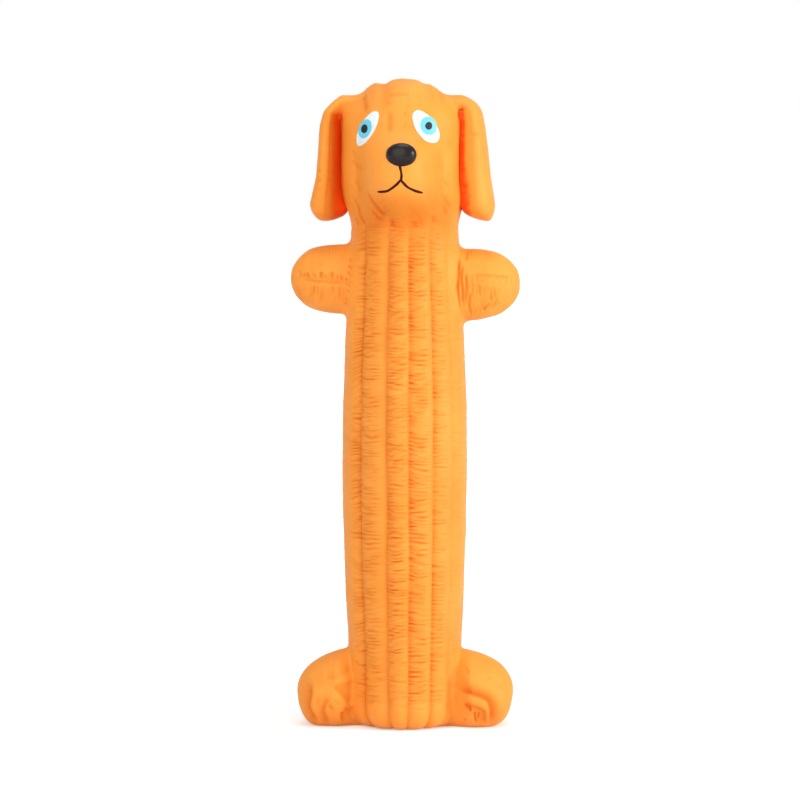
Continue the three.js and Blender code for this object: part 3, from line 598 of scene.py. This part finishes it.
# Painted shade: the head's colour is darkened in the crinkles, creases, face marks and fine wrinkles, under
# the chin and beside the ears.
head_painted_shade = crinkle_shade * folds + crease_shade * dip**2.5 + mark_shade * marks * face + fine_shade * fine
head_painted_shade = np.clip(head_painted_shade + painted_chin_shade(angle, height) + ear_shade * shade_beside_ear, 0, 1)
inner_z = np.array([267.4, 266.5, 262.0, 254.0, 243.0, 230.0, 223.0, 217.0, 212.5, 208.5, 204.5])
inner = head_points(head_angles, np.minimum(inner_z + 1.6, 269.0)[:, None])
inner[..., :2] *= 1 - WALL / np.maximum(np.hypot(inner[..., 0], inner[..., 1]), 3.2)[..., None]
inner[..., 2] = inner_z[:, None]
shell = np.concatenate([points[::-1], inner[::-1]])
painted_shade = np.concatenate([head_painted_shade[::-1], np.zeros(inner.shape[:2])])
head_skin = skin_object("latex_head", shell, poles=(points[-1].mean(axis=0), (0, 0, 267.45)), painted_shade=painted_shade)
latex(head_skin, (0.7, 0.7, 1.0), 0.5)
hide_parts("head_skin")
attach(head_skin, "toy")

# Front paws and hind feet
# The stub paws and the feet are pockets of the same moulding, filled with fibre. Each has folds pressed
# into its front: a groove with short cross wrinkles on a paw, curled toes on a foot.

wrinkle_draws = np.random.default_rng(7)
straight_part, inside_body = 0.22, 2.0


def wrinkle_row(count, start, end, reach, slant, width, depth):
    """Short wrinkles side by side along a line. Their steps, lengths, slants and depths are all uneven."""
    row = []
    for k in range(count):
        t = (k + wrinkle_draws.uniform(0.1, 0.9)) / count
        x, z = start[0] + (end[0] - start[0]) * t, start[1] + (end[1] - start[1]) * t
        long = reach * wrinkle_draws.uniform(0.45, 1.25)
        aside = slant * long + wrinkle_draws.uniform(-0.35, 0.35)
        middle = (x + aside * 0.5 + wrinkle_draws.uniform(-0.25, 0.25), z + long * 0.5)
        row.append(([(x, z), middle, (x + aside, z + long)], width * wrinkle_draws.uniform(0.8, 1.3),
                    depth * wrinkle_draws.uniform(0.35, 1.2)))
    return row


fold_lines = {
    "left_front_paw": [([(28.0, 188.4), (33.0, 188.9), (38.0, 188.5), (44.5, 188.0)], 0.55, 0.45)]
    + wrinkle_row(15, (27.5, 189.4), (45.0, 188.4), -4.2, 0.06, 0.34, 0.34)
    + wrinkle_row(13, (28.0, 185.5), (39.5, 183.5), -5.4, 0.0, 0.34, 0.32)
    + wrinkle_row(7, (31.0, 179.0), (43.0, 180.5), -3.4, -0.2, 0.35, 0.35)
    + wrinkle_row(9, (28.0, 172.0), (38.5, 175.5), 3.6, 0.9, 0.38, 0.5)
    + [([(22.6, 197.5), (22.9, 190.0), (22.3, 182.0), (23.0, 172.0)], 0.6, 1.25),
       ([(24.3, 194.0), (23.9, 188.0), (24.6, 181.0), (24.1, 175.5)], 0.55, 1.05),
       ([(25.6, 190.5), (26.1, 184.0), (25.4, 176.0)], 0.5, 0.8),
       ([(27.4, 182.0), (27.0, 176.0), (27.9, 171.5)], 0.5, 0.7), ([(26.2, 199.0), (25.6, 195.0)], 0.5, 0.5)],
    "right_front_paw": [([(-21.6, 185.8), (-27.0, 185.7), (-31.0, 186.0), (-36.0, 186.0), (-40.0, 186.7),
                          (-43.6, 188.0)], 0.75, 0.65)]
    + wrinkle_row(17, (-23.5, 186.2), (-44.0, 187.8), 3.0, 0.0, 0.38, 0.85)
    + wrinkle_row(15, (-23.0, 184.2), (-39.5, 184.4), -6.2, 0.05, 0.36, 0.45)
    + wrinkle_row(8, (-22.4, 197.0), (-24.6, 176.0), -2.6, -0.9, 0.45, 0.7),
    "left_hind_foot": [
        ([(25.4, 10.9), (26.0, 8.8)], 0.6, 1.0), ([(26.8, 10.0), (28.1, 7.4)], 0.6, 1.1),
        ([(29.8, 7.6), (30.2, 2.2)], 0.6, 1.0), ([(31.5, 7.3), (31.2, 4.0)], 0.5, 0.8),
        ([(25.6, 4.8), (25.6, 2.4)], 0.5, 0.7), ([(24.8, 26.1), (27.7, 24.0)], 0.8, 0.4),
        ([(34.8, 22.4), (36.9, 21.5)], 0.7, 0.3)],
    "right_hind_foot": [
        ([(-25.4, 7.2), (-25.3, 5.0), (-25.0, 1.8)], 0.8, 0.9), ([(-30.8, 10.4), (-29.2, 7.5)], 0.8, 0.6),
        ([(-35.4, 14.0), (-35.8, 9.6)], 0.9, 0.35), ([(-28.4, 12.4), (-26.0, 10.0)], 0.7, 0.4)],
}
toe_rolls = {
    "left_hind_foot": [
        ([(20.0, 18.8), (24.3, 16.3), (27.7, 15.7), (31.9, 14.4), (34.8, 13.0), (36.2, 10.7), (36.7, 7.3),
          (36.2, 2.7), (36.1, -2.0)], 0.95, 1.5),
        ([(33.5, 1.0), (34.0, 5.2), (33.1, 8.1), (27.7, 10.6), (23.1, 13.2)], 1.1, 1.1)],
    "right_hind_foot": [
        ([(-35.8, -1.5), (-37.1, 3.6), (-38.8, 7.3), (-39.2, 10.7), (-38.8, 14.0), (-38.8, 17.3),
          (-40.4, 21.5)], 0.85, 1.25),
        ([(-31.4, 0.0), (-32.1, 3.6), (-32.9, 7.3), (-32.1, 10.7), (-29.6, 14.2)], 0.8, 0.9),
        ([(-28.9, 18.6), (-25.4, 15.3), (-23.7, 12.7), (-21.6, 9.0)], 0.75, 0.7),
        ([(-17.4, 11.9), (-21.6, 7.7), (-25.2, 8.6)], 0.9, 0.7),
        ([(-33.2, 21.6), (-27.5, 21.9), (-24.1, 23.4), (-17.5, 24.4)], 0.9, 0.5),
        ([(-17.1, 21.2), (-24.1, 18.2), (-31.2, 18.6)], 1.0, 0.4)],
}
for name, limb in limb_kinds.items():
    foot = "foot" in name
    side, mid_y, mid_z, high = (limb[key] for key in ("side", "y", "z", "high"))
    around = full_turn(230)
    along = np.linspace(0, 1, 150)[:, None]
    y_edge = mid_y + limb_deep(limb, 0.0, np.cos(around) < 0) * np.cos(around)
    z_edge = np.maximum(mid_z + high * np.sin(around), 0.0)
    body_here = np.sqrt(np.maximum(body_radius(z_edge) ** 2 - y_edge**2, 60.0)) - inside_body
    straight = np.clip(along / straight_part, 0, 1)
    swing = np.sin(np.clip((along - straight_part) / (1 - straight_part), 0, 1) * (np.pi / 2 - 0.02))
    reach = body_here + (limb["x"] - body_here) * straight + limb["length"] * swing
    upper, lower = limb["full"]
    size = np.sqrt(1.0 - swing ** (lower + (upper - lower) * ease(0.5 + np.sin(around))))
    half_deep = limb_deep(limb, reach, np.cos(around) < 0)
    ring_y = mid_y + half_deep * size * np.cos(around)
    ring_z = mid_z + high * size * np.sin(around)
    points = np.stack([side * reach, ring_y, np.maximum(ring_z, 0.0) if foot else ring_z], -1)
    middle = np.array([side * limb["x"] * 0.9, mid_y, mid_z])
    normal = outward(points, middle)
    raised, near = swell(points, normal, body_field, foot_corner if foot else limb_corner)
    front = ease((mid_y + 3.0 - points[..., 1]) / 5.0)
    px, pz = points[..., 0], points[..., 2]
    folds = pressed_in(px, pz, fold_lines[name], 0.2) * front
    if foot:
        folds += sum(rolled(px, pz, path, wide) * deep for path, wide, deep in toe_rolls[name]) * front
    back = (1 - front) * np.exp(-(((pz - mid_z) / 0.9) ** 2)) * ease((np.abs(px) - 27.0) / 4.0)
    back *= 0.0 if foot else 0.7
    lane = np.full(px.shape, 4.0 if side > 0 else 0.0)
    fine = crinkles(pz / 1.5 + 2.0, np.abs(px) * 1.15 + 9.0, lane)
    flat = ease((pz - 0.2) / 2.5) if foot else 1.0
    uneven = 0.22 * random_field(px / 5.0, pz / 5.0, points[..., 1] / 5.0)
    hatched = ease(0.3 + 1.2 * random_field(px / 6.0, pz / 6.0, 0 * px + 5.0))
    hatched *= (1 - near) * (0.3 if foot else 1.0)
    lift = raised + (uneven - folds - back - 0.16 * fine * hatched) * flat
    if foot:
        normal[..., 2] = np.where(pz < 0.01, 0.0, normal[..., 2])
    points = points + normal * lift[..., None]
    if foot:
        under_body = ease(16.2 - np.hypot(points[..., 0], points[..., 1]))
        points[..., 2] = np.maximum(points[..., 2], 0.4 * under_body)
    keep = np.linspace(len(points) - 1, 0, 10).astype(int)
    core_y = mid_y + (half_deep[keep] - WALL) * size[keep] * np.cos(around)
    core_z = mid_z + (high - WALL) * size[keep] * np.sin(around)
    core_x = side * (reach[keep] - WALL * swing[keep])
    inner = np.stack([core_x, core_y, np.maximum(core_z, WALL) if foot else core_z], -1)
    rows = np.concatenate([points[::-1], inner[::-1]])
    # Painted shade: the limb's colour is darkened in the pressed folds, toe rolls and fine crinkles.
    painted_limb_shade = np.clip(0.5 * folds + 0.3 * fine * hatched, 0, 1)
    painted_shade = np.concatenate([painted_limb_shade[::-1], np.zeros(inner.shape[:2])])
    tip_x = limb["x"] + limb["length"]
    tips = [(side * (tip_x - back_by), mid_y, mid_z) for back_by in (0.0, WALL + 0.02)]
    piece = skin_object("latex_" + name, rows, poles=tips, painted_shade=painted_shade)
    latex(piece, (1.0, 0.5, 0.35))
    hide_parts(name)
    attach(piece, "toy")

# Ears
# Each ear is a thick flap of the same latex that leaves the side of the crown, turns down over a soft
# shoulder and hangs against the head, with a deep crease between them. The real flap can be bent out and
# springs back; here each ear is set where it rests.

ear_corner = (24.7, 255.4)
ear_tip_round = 7.5
root_length = 12.0
press_in = 0.35
# Half thicknesses over the shoulder and down the flap, then the tip's place, its flare and the slant. Past
# the tuck, in degrees, the inner face is laid on the head. Hollow and peak shape the section, and the rest
# give the painted shade of the valley beside the head.
ear_shapes = {
    "left_ear": dict(
        side=1, shoulder=[3.9, 3.68, 3.73, 4.02, 4.45], thick=[4.45, 4.95, 5.6, 6.15, 7.05],
        tip=44.5, flare=3.95, slant=0.9, tuck=90.0, over=26.0, rest=0.78, hollow=1.25, peak=0.95, valley=2.4,
        valley_top=259.0, widen=4.6, ragged=0.35, nicks=[([(27.5, 246.6), (32.0, 247.0)], 0.7, 0.3)]),
    "right_ear": dict(
        side=-1, shoulder=[3.9, 3.35, 3.2, 3.45, 4.05], thick=[4.05, 4.7, 5.05, 5.45, 6.75],
        tip=44.2, flare=1.35, slant=-1.0, tuck=88.0, over=46.0, rest=0.62, hollow=1.9, peak=0.74, valley=7.8,
        valley_top=257.4, widen=1.0, ragged=0.1,
        nicks=[([(33.8, 232.0), (36.0, 231.8)], 0.4, 0.3), ([(33.6, 228.0), (36.2, 227.8)], 0.4, 0.3),
               ([(33.4, 224.4), (35.6, 224.2)], 0.4, 0.25)]),
}
hang_down = [0.0, 5.0, 15.0, 26.0, 37.0]
hang_broad = [10.5, 11.0, 11.6, 12.0, 12.0]


def head_field(p):
    """Distance outside the head near its ears: its ellipse's level, less one, times the half width, over
    how steeply that narrows upwards."""
    wide, deep = head_halves(p[..., 2])
    across = (p[..., 0] - head_shift(p[..., 2])) / np.maximum(wide, 1)
    level = np.sqrt(across**2 + (p[..., 1] / np.maximum(deep, 1)) ** 2)
    narrowing = (wide - head_halves(p[..., 2] + 0.5)[0]) / 0.5
    return (level - 1) * np.maximum(wide, 1) / np.sqrt(1 + narrowing**2)


for name, ear in ear_shapes.items():
    around = full_turn(150)
    root = np.linspace(0, 1, 16)[:, None]
    bend = np.linspace(0, 1, 26)[1:, None]
    straight = ear["tip"] - ear_tip_round
    hang = np.linspace(0, straight, 70)[1:, None]
    tip = np.sin(np.linspace(0, np.pi / 2 - 0.02, 34))[1:, None]
    turn = np.concatenate([0 * root, bend * np.pi / 2, 0 * hang + np.pi / 2, 0 * tip + np.pi / 2])
    close = np.sqrt(1 - tip**2)
    tip_thick = ear["thick"][-1]
    shoulder = spline(np.linspace(0, 1, 5), ear["shoulder"])
    bent = np.interp(bend, shoulder[:, 0], shoulder[:, 1])
    flap = np.interp(hang, hang_down, ear["thick"])
    thick = np.concatenate([root_thick + 0 * root, bent, flap, tip_thick * close])
    bent = root_broad + (hang_broad[0] - root_broad) * bend
    flap = np.interp(hang, hang_down, hang_broad)
    broad = np.concatenate([root_broad + 0 * root, bent, flap, hang_broad[-1] * close])
    flare = (tip_thick + ear["flare"]) * (1 - close)
    out = np.concatenate([root_length * (root - 1), 0 * bend, 0 * hang, flare])
    down = np.concatenate([0 * root, 0 * bend, hang, straight + ear_tip_round * tip])
    cos, sin = np.cos(around), np.sin(around)
    span = thick * (1 + cos)
    corner_x = ear_corner[0] + ear["side"] * head_aside
    x = corner_x + out + span * np.sin(turn)
    z = ear_corner[1] - down + span * np.cos(turn)
    hollow = 1 + (ear["hollow"] - 1) * ease(turn / (np.pi / 2)) * (cos < 0)
    round_front = np.where(sin > 0, np.pi * (around / np.pi) ** ear["peak"], around)
    fore = np.sign(sin) * np.abs(np.sin(round_front)) ** hollow
    y = root_y - broad * fore + 0 * x
    slant = ear["slant"] * np.clip(1 - (x - corner_x) / (2 * tip_thick), 0, 1) ** 1.5
    z = z + slant * ease((down - 18.0) / 20.0)
    turned_in = np.degrees(np.abs(np.mod(around + np.pi, 2 * np.pi) - np.pi))
    pressed_on = ease((turn / (np.pi / 2) - 0.35) / 0.65) * (1 - ease((down - 37.0) / 8.0))
    share = ease((turned_in - ear["tuck"]) / ear["over"]) * pressed_on
    wide, deep = head_halves(z)
    rest_y = root_y - broad * fore * ear["rest"] + 0 * x
    rest_x = wide * np.sqrt(1 - (rest_y / deep) ** 2) + ear["side"] * head_shift(z) - press_in
    x, y = x + (rest_x - x) * share, y + (rest_y - y) * share
    points = np.stack([ear["side"] * x, y, z], -1)
    normal = outward(points, points.mean(axis=1, keepdims=True))
    raised, near = swell(points, normal, head_field, 3.0)
    rooted = 1 - ease((255.0 - z) / 4.0) * ease((x - 25.0) / 3.0) - ease((254.0 - z) / 3.0)
    rooted = np.clip(rooted, 0, 1) * (z > 250)
    uneven = 0.16 * random_field(x / 7.0, z / 8.0, points[..., 1] / 7.0)
    uneven += 0.05 * random_field(x / 2.5, z / 2.2, points[..., 1] / 2.5)
    hanging = ease((254.0 - z) / 8.0)
    nicks = pressed_in(x, z, ear["nicks"])
    points = points + normal * (raised * rooted + (uneven - nicks) * hanging)[..., None]
    # Painted shade: the ear's inner side is darkened to deep red in the valley beside the head, more in
    # front, with ragged edges; the nicks are darkened too.
    valley = ear["valley"] + ear["widen"] * ease((down - 18.0) / 20.0)
    painted_valley_shade = ease((corner_x + 0.6 + valley - x) / valley) * ease((ear["valley_top"] - z) / 3.0)
    painted_valley_shade *= 0.45 + 0.55 * ease((3.0 - points[..., 1]) / 6.0)
    ragged = 1.0 + ear["ragged"] * random_field(x / 1.6, z / 1.4, 0 * x)
    painted_shade = np.clip(nicks * hanging + 1.5 * painted_valley_shade**1.5 * ragged, 0, 1.6)
    start = (ear["side"] * (corner_x - root_length), root_y, ear_corner[1] + root_thick)
    piece = skin_object("latex_" + name, points, poles=(start, points[-1].mean(axis=0)), painted_shade=painted_shade)
    latex(piece, (0.8, 0.8, 0.8), 0.5)
    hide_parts(name)
    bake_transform(piece)

# Nose
# The nose is a smooth dome moulded on the muzzle and dipped in thick glossy black-brown lacquer.

nose_low, nose_high = (np.array(corner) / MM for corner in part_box("nose"))
nose_middle = (nose_low + nose_high) / 2 - [0, AXIS_Y, 0]
nose_half = [6.25, 3.4, 5.05]
nose_aside, nose_drop = 0.3, 1.3
around = full_turn(96)
along = np.linspace(0.03, np.pi - 0.03, 48)[:, None]
nose_y = nose_low[1] - AXIS_Y
nose_x, nose_z = nose_middle[0] + nose_aside, nose_middle[2] - nose_drop
egg = 1.0 + 0.07 * np.cos(around)
rows = np.stack([
    nose_x + nose_half[0] * np.sin(along) * np.sin(around) * egg,
    nose_y + nose_half[1] * (1 - np.cos(along)) + 0 * around,
    nose_z + nose_half[2] * np.sin(along) * np.cos(around),
], -1)
ends = (nose_x, nose_y, nose_z), (nose_x, nose_y + 2 * nose_half[1], nose_z)
nose = skin_object("nose_dome", rows, poles=ends)
finish = Finish(nose, "black_nose_lacquer", IOR=1.5, Specular_IOR_Level=0.14, Coat_Weight=0.2,
                Coat_Roughness=0.25)
speck = finish.mottle(linear(14, 3, 1), linear(24, 10, 8), 0.3, 400.0, detail=3.0)
finish.feed("Roughness", finish.remap(speck, 0.0, 1.0, 0.24, 0.34))
finish.bump(finish.noise(700.0), 0.00006)
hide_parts("nose")
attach(nose, "toy")

# Eyes
# Each eye is painted by hand on the latex in three coats: a white oval that leans inwards, a sky-blue
# iris and a black pupil. Every coat dries with a soft rounded edge.

let_in = 0.6  # how far below the face a coat is closed


def coat(name, centre, halves, lean, stand, colour, gloss):
    """A coat of paint: an ellipse laid on the face, domed a little at its edge, and closed below."""
    around = full_turn(72)
    out = np.concatenate([np.linspace(0.04, 0.9, 16), [0.95, 0.985, 1.0, 1.0, 0.7, 0.3]])[:, None]
    level = [stand] * 16 + [stand * 0.95, stand * 0.7, stand * 0.1] + [-let_in] * 3
    edge = 1 + 0.012 * np.sin(3 * around + centre[0]) + 0.008 * np.sin(7 * around)
    a, c = halves[0] * out * np.cos(around) * edge, halves[1] * out * np.sin(around) * edge
    x = centre[0] + a * math.cos(lean) + c * math.sin(lean)
    z = centre[1] + c * math.cos(lean) - a * math.sin(lean)
    rows = np.stack([x, face_y(x, z) - np.array(level)[:, None], z], -1)
    ends = [(centre[0], face_y(*centre) - lift, centre[1]) for lift in (stand, -let_in)]
    made = skin_object(name, rows, poles=ends)
    finish = Finish(made, name + "_paint", Roughness=gloss, IOR=1.5, Specular_IOR_Level=0.3)
    finish.mottle(colour, (*(c * 0.93 for c in colour[:3]), 1.0), 0.35, 600.0)
    finish.bump(finish.noise(500.0), 0.00005)
    return made


eyes = {
    "left": dict(eye_white=((9.7, 249.8), (3.95, 7.7), -0.62), iris=((10.8, 250.2), (3.3, 3.9), -0.35),
                 pupil=((10.9, 250.2), (1.45, 1.65), 0.0)),
    "right": dict(eye_white=((-14.4, 249.1), (3.1, 8.0), 0.51), iris=((-15.3, 249.0), (2.75, 4.1), 0.35),
                  pupil=((-15.6, 249.0), (1.45, 1.85), 0.2)),
}
coats = {
    "eye_white": (0.22, linear(230, 238, 241), 0.4, "white_paint"),
    "iris": (0.32, linear(112, 202, 224), 0.4, "blue_paint"),
    "pupil": (0.42, linear(14, 14, 18), 0.5, "black_gloss_paint"),
}
for side, eye in eyes.items():
    for kind, (stand, colour, gloss, slot) in coats.items():
        node = side + "_" + kind
        piece = coat(node + "_coat", *eye[kind], stand, colour, gloss)
        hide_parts(node)
        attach(piece, "toy")

# Mouth
# The mouth is three strokes of a fine brush in dark brown paint: one down from the nose and two lips.

strokes = [
    [(-0.6, 234.9), (0.2, 232.0), (0.5, 229.7), (0.2, 227.7)],
    [(0.5, 228.7), (-0.4, 227.5), (-2.0, 225.9), (-5.4, 223.7), (-9.5, 223.3)],
    [(0.1, 228.5), (0.9, 227.3), (3.0, 225.2), (6.0, 223.7), (8.9, 222.9)],
]
brush_half = 0.54
parts = []
for path in strokes:
    fine = spline(*np.array(path).T)
    length = np.concatenate([[0], np.cumsum(np.hypot(*np.diff(fine, axis=0).T))])
    reach = np.linspace(0, length[-1], 70)
    line = np.column_stack([np.interp(reach, length, fine[:, k]) for k in range(2)])
    tangent = np.gradient(line, axis=0)
    tangent /= np.linalg.norm(tangent, axis=1, keepdims=True)
    share = reach / length[-1]
    taper = 0.45 + 0.55 * np.sqrt(np.clip(4 * share * (1 - share), 0, 1))
    half = brush_half * taper * (1 + 0.15 * np.sin(9 * share))
    ring = full_turn(14)
    aside = half[:, None] * np.cos(ring)
    x = line[:, :1] - tangent[:, 1:] * aside
    z = line[:, 1:] + tangent[:, :1] * aside
    level = np.where(np.sin(ring) > 0, 0.20, 0.5) * np.sin(ring)
    rows = np.stack([x, face_y(x, z) - level, z], -1)
    poles = rows[0].mean(axis=0), rows[-1].mean(axis=0)
    parts.append(skin_object("mouth_strokes", rows, poles=poles))
mouth = parts[0]
with bpy.context.temp_override(active_object=mouth, selected_editable_objects=parts):
    bpy.ops.object.join()
finish = Finish(mouth, "brown_line_paint", Roughness=0.6, Specular_IOR_Level=0.12)
finish.mottle(linear(40, 6, 2), linear(66, 14, 4), 0.35, 500.0)
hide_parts("mouth_line")
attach(mouth, "toy")

# Fibre filling
# Loose white polyester fibre, blown in through the hole in the base, fills the skin up to the crown and
# keeps a pocket round the squeaker.

fibre_depth = WALL + 1.0
around = full_turn(96)
pocket = [(0.6, 21.2), (9.8, 21.2), (9.8, 8.0), (14.0, 8.0), (14.0, 4.0), (17.0, 3.9)]
side_z = np.linspace(9.0, 206.0, 90)
side_profile = np.column_stack([body_radius(side_z) - fibre_depth, side_z])
rows = turned(*np.vstack([pocket, side_profile]).T, around)
crown = 207.0 + 59.0 * np.sin(np.linspace(0.02, np.pi / 2 - 0.02, 50))
cap = head_points(around, crown[:, None])
cap[..., :2] *= 1 - fibre_depth / np.maximum(np.hypot(cap[..., 0], cap[..., 1]), 4.2)[..., None]
rows = np.concatenate([rows, cap])
puff = random_field(rows[..., 0] / 6, rows[..., 2] / 6, rows[..., 1] / 6) * 0.35
puff *= ease((rows[..., 2] - 22.0) / 6.0)
rows = rows + outward(rows, np.array([0.0, 0.0, 120.0])) * puff[..., None]
fibre = skin_object("loose_fibre", rows, poles=((0, 0, 21.2), (0, 0, 266.6)))
finish = Finish(fibre, "white_polyester_fibre", Roughness=0.95, Sheen_Weight=0.4)
wisps = finish.mottle(linear(226, 224, 218), linear(246, 245, 240), 0.3, 500.0,
                      stretch=(1.0, 1.0, 0.4), detail=6.0, rough=0.7)
finish.bump(wisps, 0.0012)
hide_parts("fibre_filling")
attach(fibre, "toy")

# Base plug
# A turned latex disc, glued into the filling hole from inside. Its flange lies on the floor of the skin,
# and its bore grips the neck of the squeaker.

plug_profile = [(3.6, 0.5), (10.4, 0.5), (10.85, 0.65), (11.0, 1.1), (11.0, 3.5), (13.3, 3.5), (13.6, 3.8),
                (13.6, 4.8), (13.3, 5.1), (3.6, 5.1)]
rows = turned(*np.array(plug_profile).T, full_turn(128))
plug = skin_object("latex_base_plug", rows, painted_shade=np.zeros(rows.shape[:2]))
edges = plug.modifiers.new("soft edges", "BEVEL")
edges.width, edges.segments, edges.limit_method = 0.0002, 2, "ANGLE"
latex(plug, (1.0, 1.0, 1.0), 0.4)
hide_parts("base_plug")
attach(plug, "toy")

# Squeaker
# A white plastic reed squeaker of four pieces: a cup whose neck passes through the plug, a reed block, a
# thin reed and a cap with air inlets. They are injection moulded, with a faint grain.

squeaker_plastics = {
    "squeaker_housing": ((233, 231, 224), 0.42),
    "squeaker_reed_block": ((226, 224, 216), 0.45),
    "squeaker_reed": ((240, 239, 232), 0.3),
    "squeaker_cap": ((233, 231, 224), 0.42),
}
for name, (tone, rough) in squeaker_plastics.items():
    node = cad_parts[name]
    node.data.materials.clear()
    finish = Finish(node, name + "_plastic", Roughness=rough, Subsurface_Weight=0.05, Subsurface_Scale=0.001)
    grain = finish.mottle(linear(*tone), linear(*(c * 0.97 for c in tone)), 0.3, 900.0, detail=3.0)
    finish.bump(grain, 0.00003)

# Floor, light and camera
# A plain pale studio: the toy stands on a matt white floor under soft light from above and the right.

floor_half = 6.0
corners = [(x * floor_half, y * floor_half, 0) for x, y in ((-1, -1), (1, -1), (1, 1), (-1, 1))]
black, white = (0, 0, 0, 1), (1, 1, 1, 1)
ambient_strength = 0.36


def background_rays(nodes):
    """1 on each ray that should meet the plain background: from the camera, a gloss or clear matter."""
    kinds = ("Is Camera Ray", "Is Glossy Ray", "Is Transmission Ray")
    camera, glossy, clear = (nodes.node("ShaderNodeLightPath", out=kind) for kind in kinds)
    return camera + glossy + clear


mesh = bpy.data.meshes.new("floor")
mesh.from_pydata(corners, [], [(0, 1, 2, 3)])
floor = new_object("floor", mesh)
floor.location.z = -0.0002
finish = Finish(floor, "matt_white_floor", Roughness=0.9, Base_Color=(0.92, 0.92, 0.92, 1.0),
                Emission_Strength=1.0)
away = finish.node("ShaderNodeVectorMath", {"operation": "LENGTH"}, {0: finish.places()}, out="Value")
level = finish.remap(away, 0.15, 0.8, 0.35, 0.95)
finish.feed("Emission Color", finish.mix(background_rays(finish) * level, black, white))

world = bpy.data.worlds.new("studio")
scene.world = world
world.use_nodes = True
sky = Nodes(world.node_tree)
ambient, plain = (sky.node("ShaderNodeBackground", sockets={"Color": white, "Strength": strength})
                  for strength in (ambient_strength, 1.0))
chosen = sky.node("ShaderNodeMixShader", sockets={0: background_rays(sky), 1: ambient, 2: plain})
sky.put(sky.tree.nodes["World Output"].inputs["Surface"], chosen)

aim = Vector((0.0, 0.0, 0.14))
lamps = (("side", (1.35, -0.6, 0.5), 0.6, 14.4), ("front", (-0.3, -1.25, 0.75), 1.5, 11.2),
         ("top", (0.1, -0.1, 1.4), 0.8, 5.0))
for name, place, size, power in lamps:
    lamp = bpy.data.lights.new(name, "AREA")
    lamp.shape, lamp.size, lamp.energy = "DISK", size, power
    holder = new_object(name, lamp)
    holder.location = place
    holder.rotation_euler = (aim - holder.location).to_track_quat("-Z", "Y").to_euler()

photo_width = 0.3343  # metres across the photograph at the toy
camera_distance = 1.4
sensor = 36.0
azimuth, elevation = math.radians(3.0), math.radians(4.0)
camera_data = bpy.data.cameras.new("camera")
camera_data.sensor_width = sensor
camera_data.lens = sensor * camera_distance / photo_width
camera = new_object("camera", camera_data)
level = math.cos(elevation)
back = Vector((math.sin(azimuth) * level, -math.cos(azimuth) * level, math.sin(elevation)))
target = Vector((-0.0020, AXIS_Y * MM, 0.13625))
camera.location = target + back * camera_distance
camera.rotation_euler = (-back).to_track_quat("-Z", "Y").to_euler()
camera_data.clip_start, camera_data.clip_end = 0.05, 20.0
scene.camera = camera
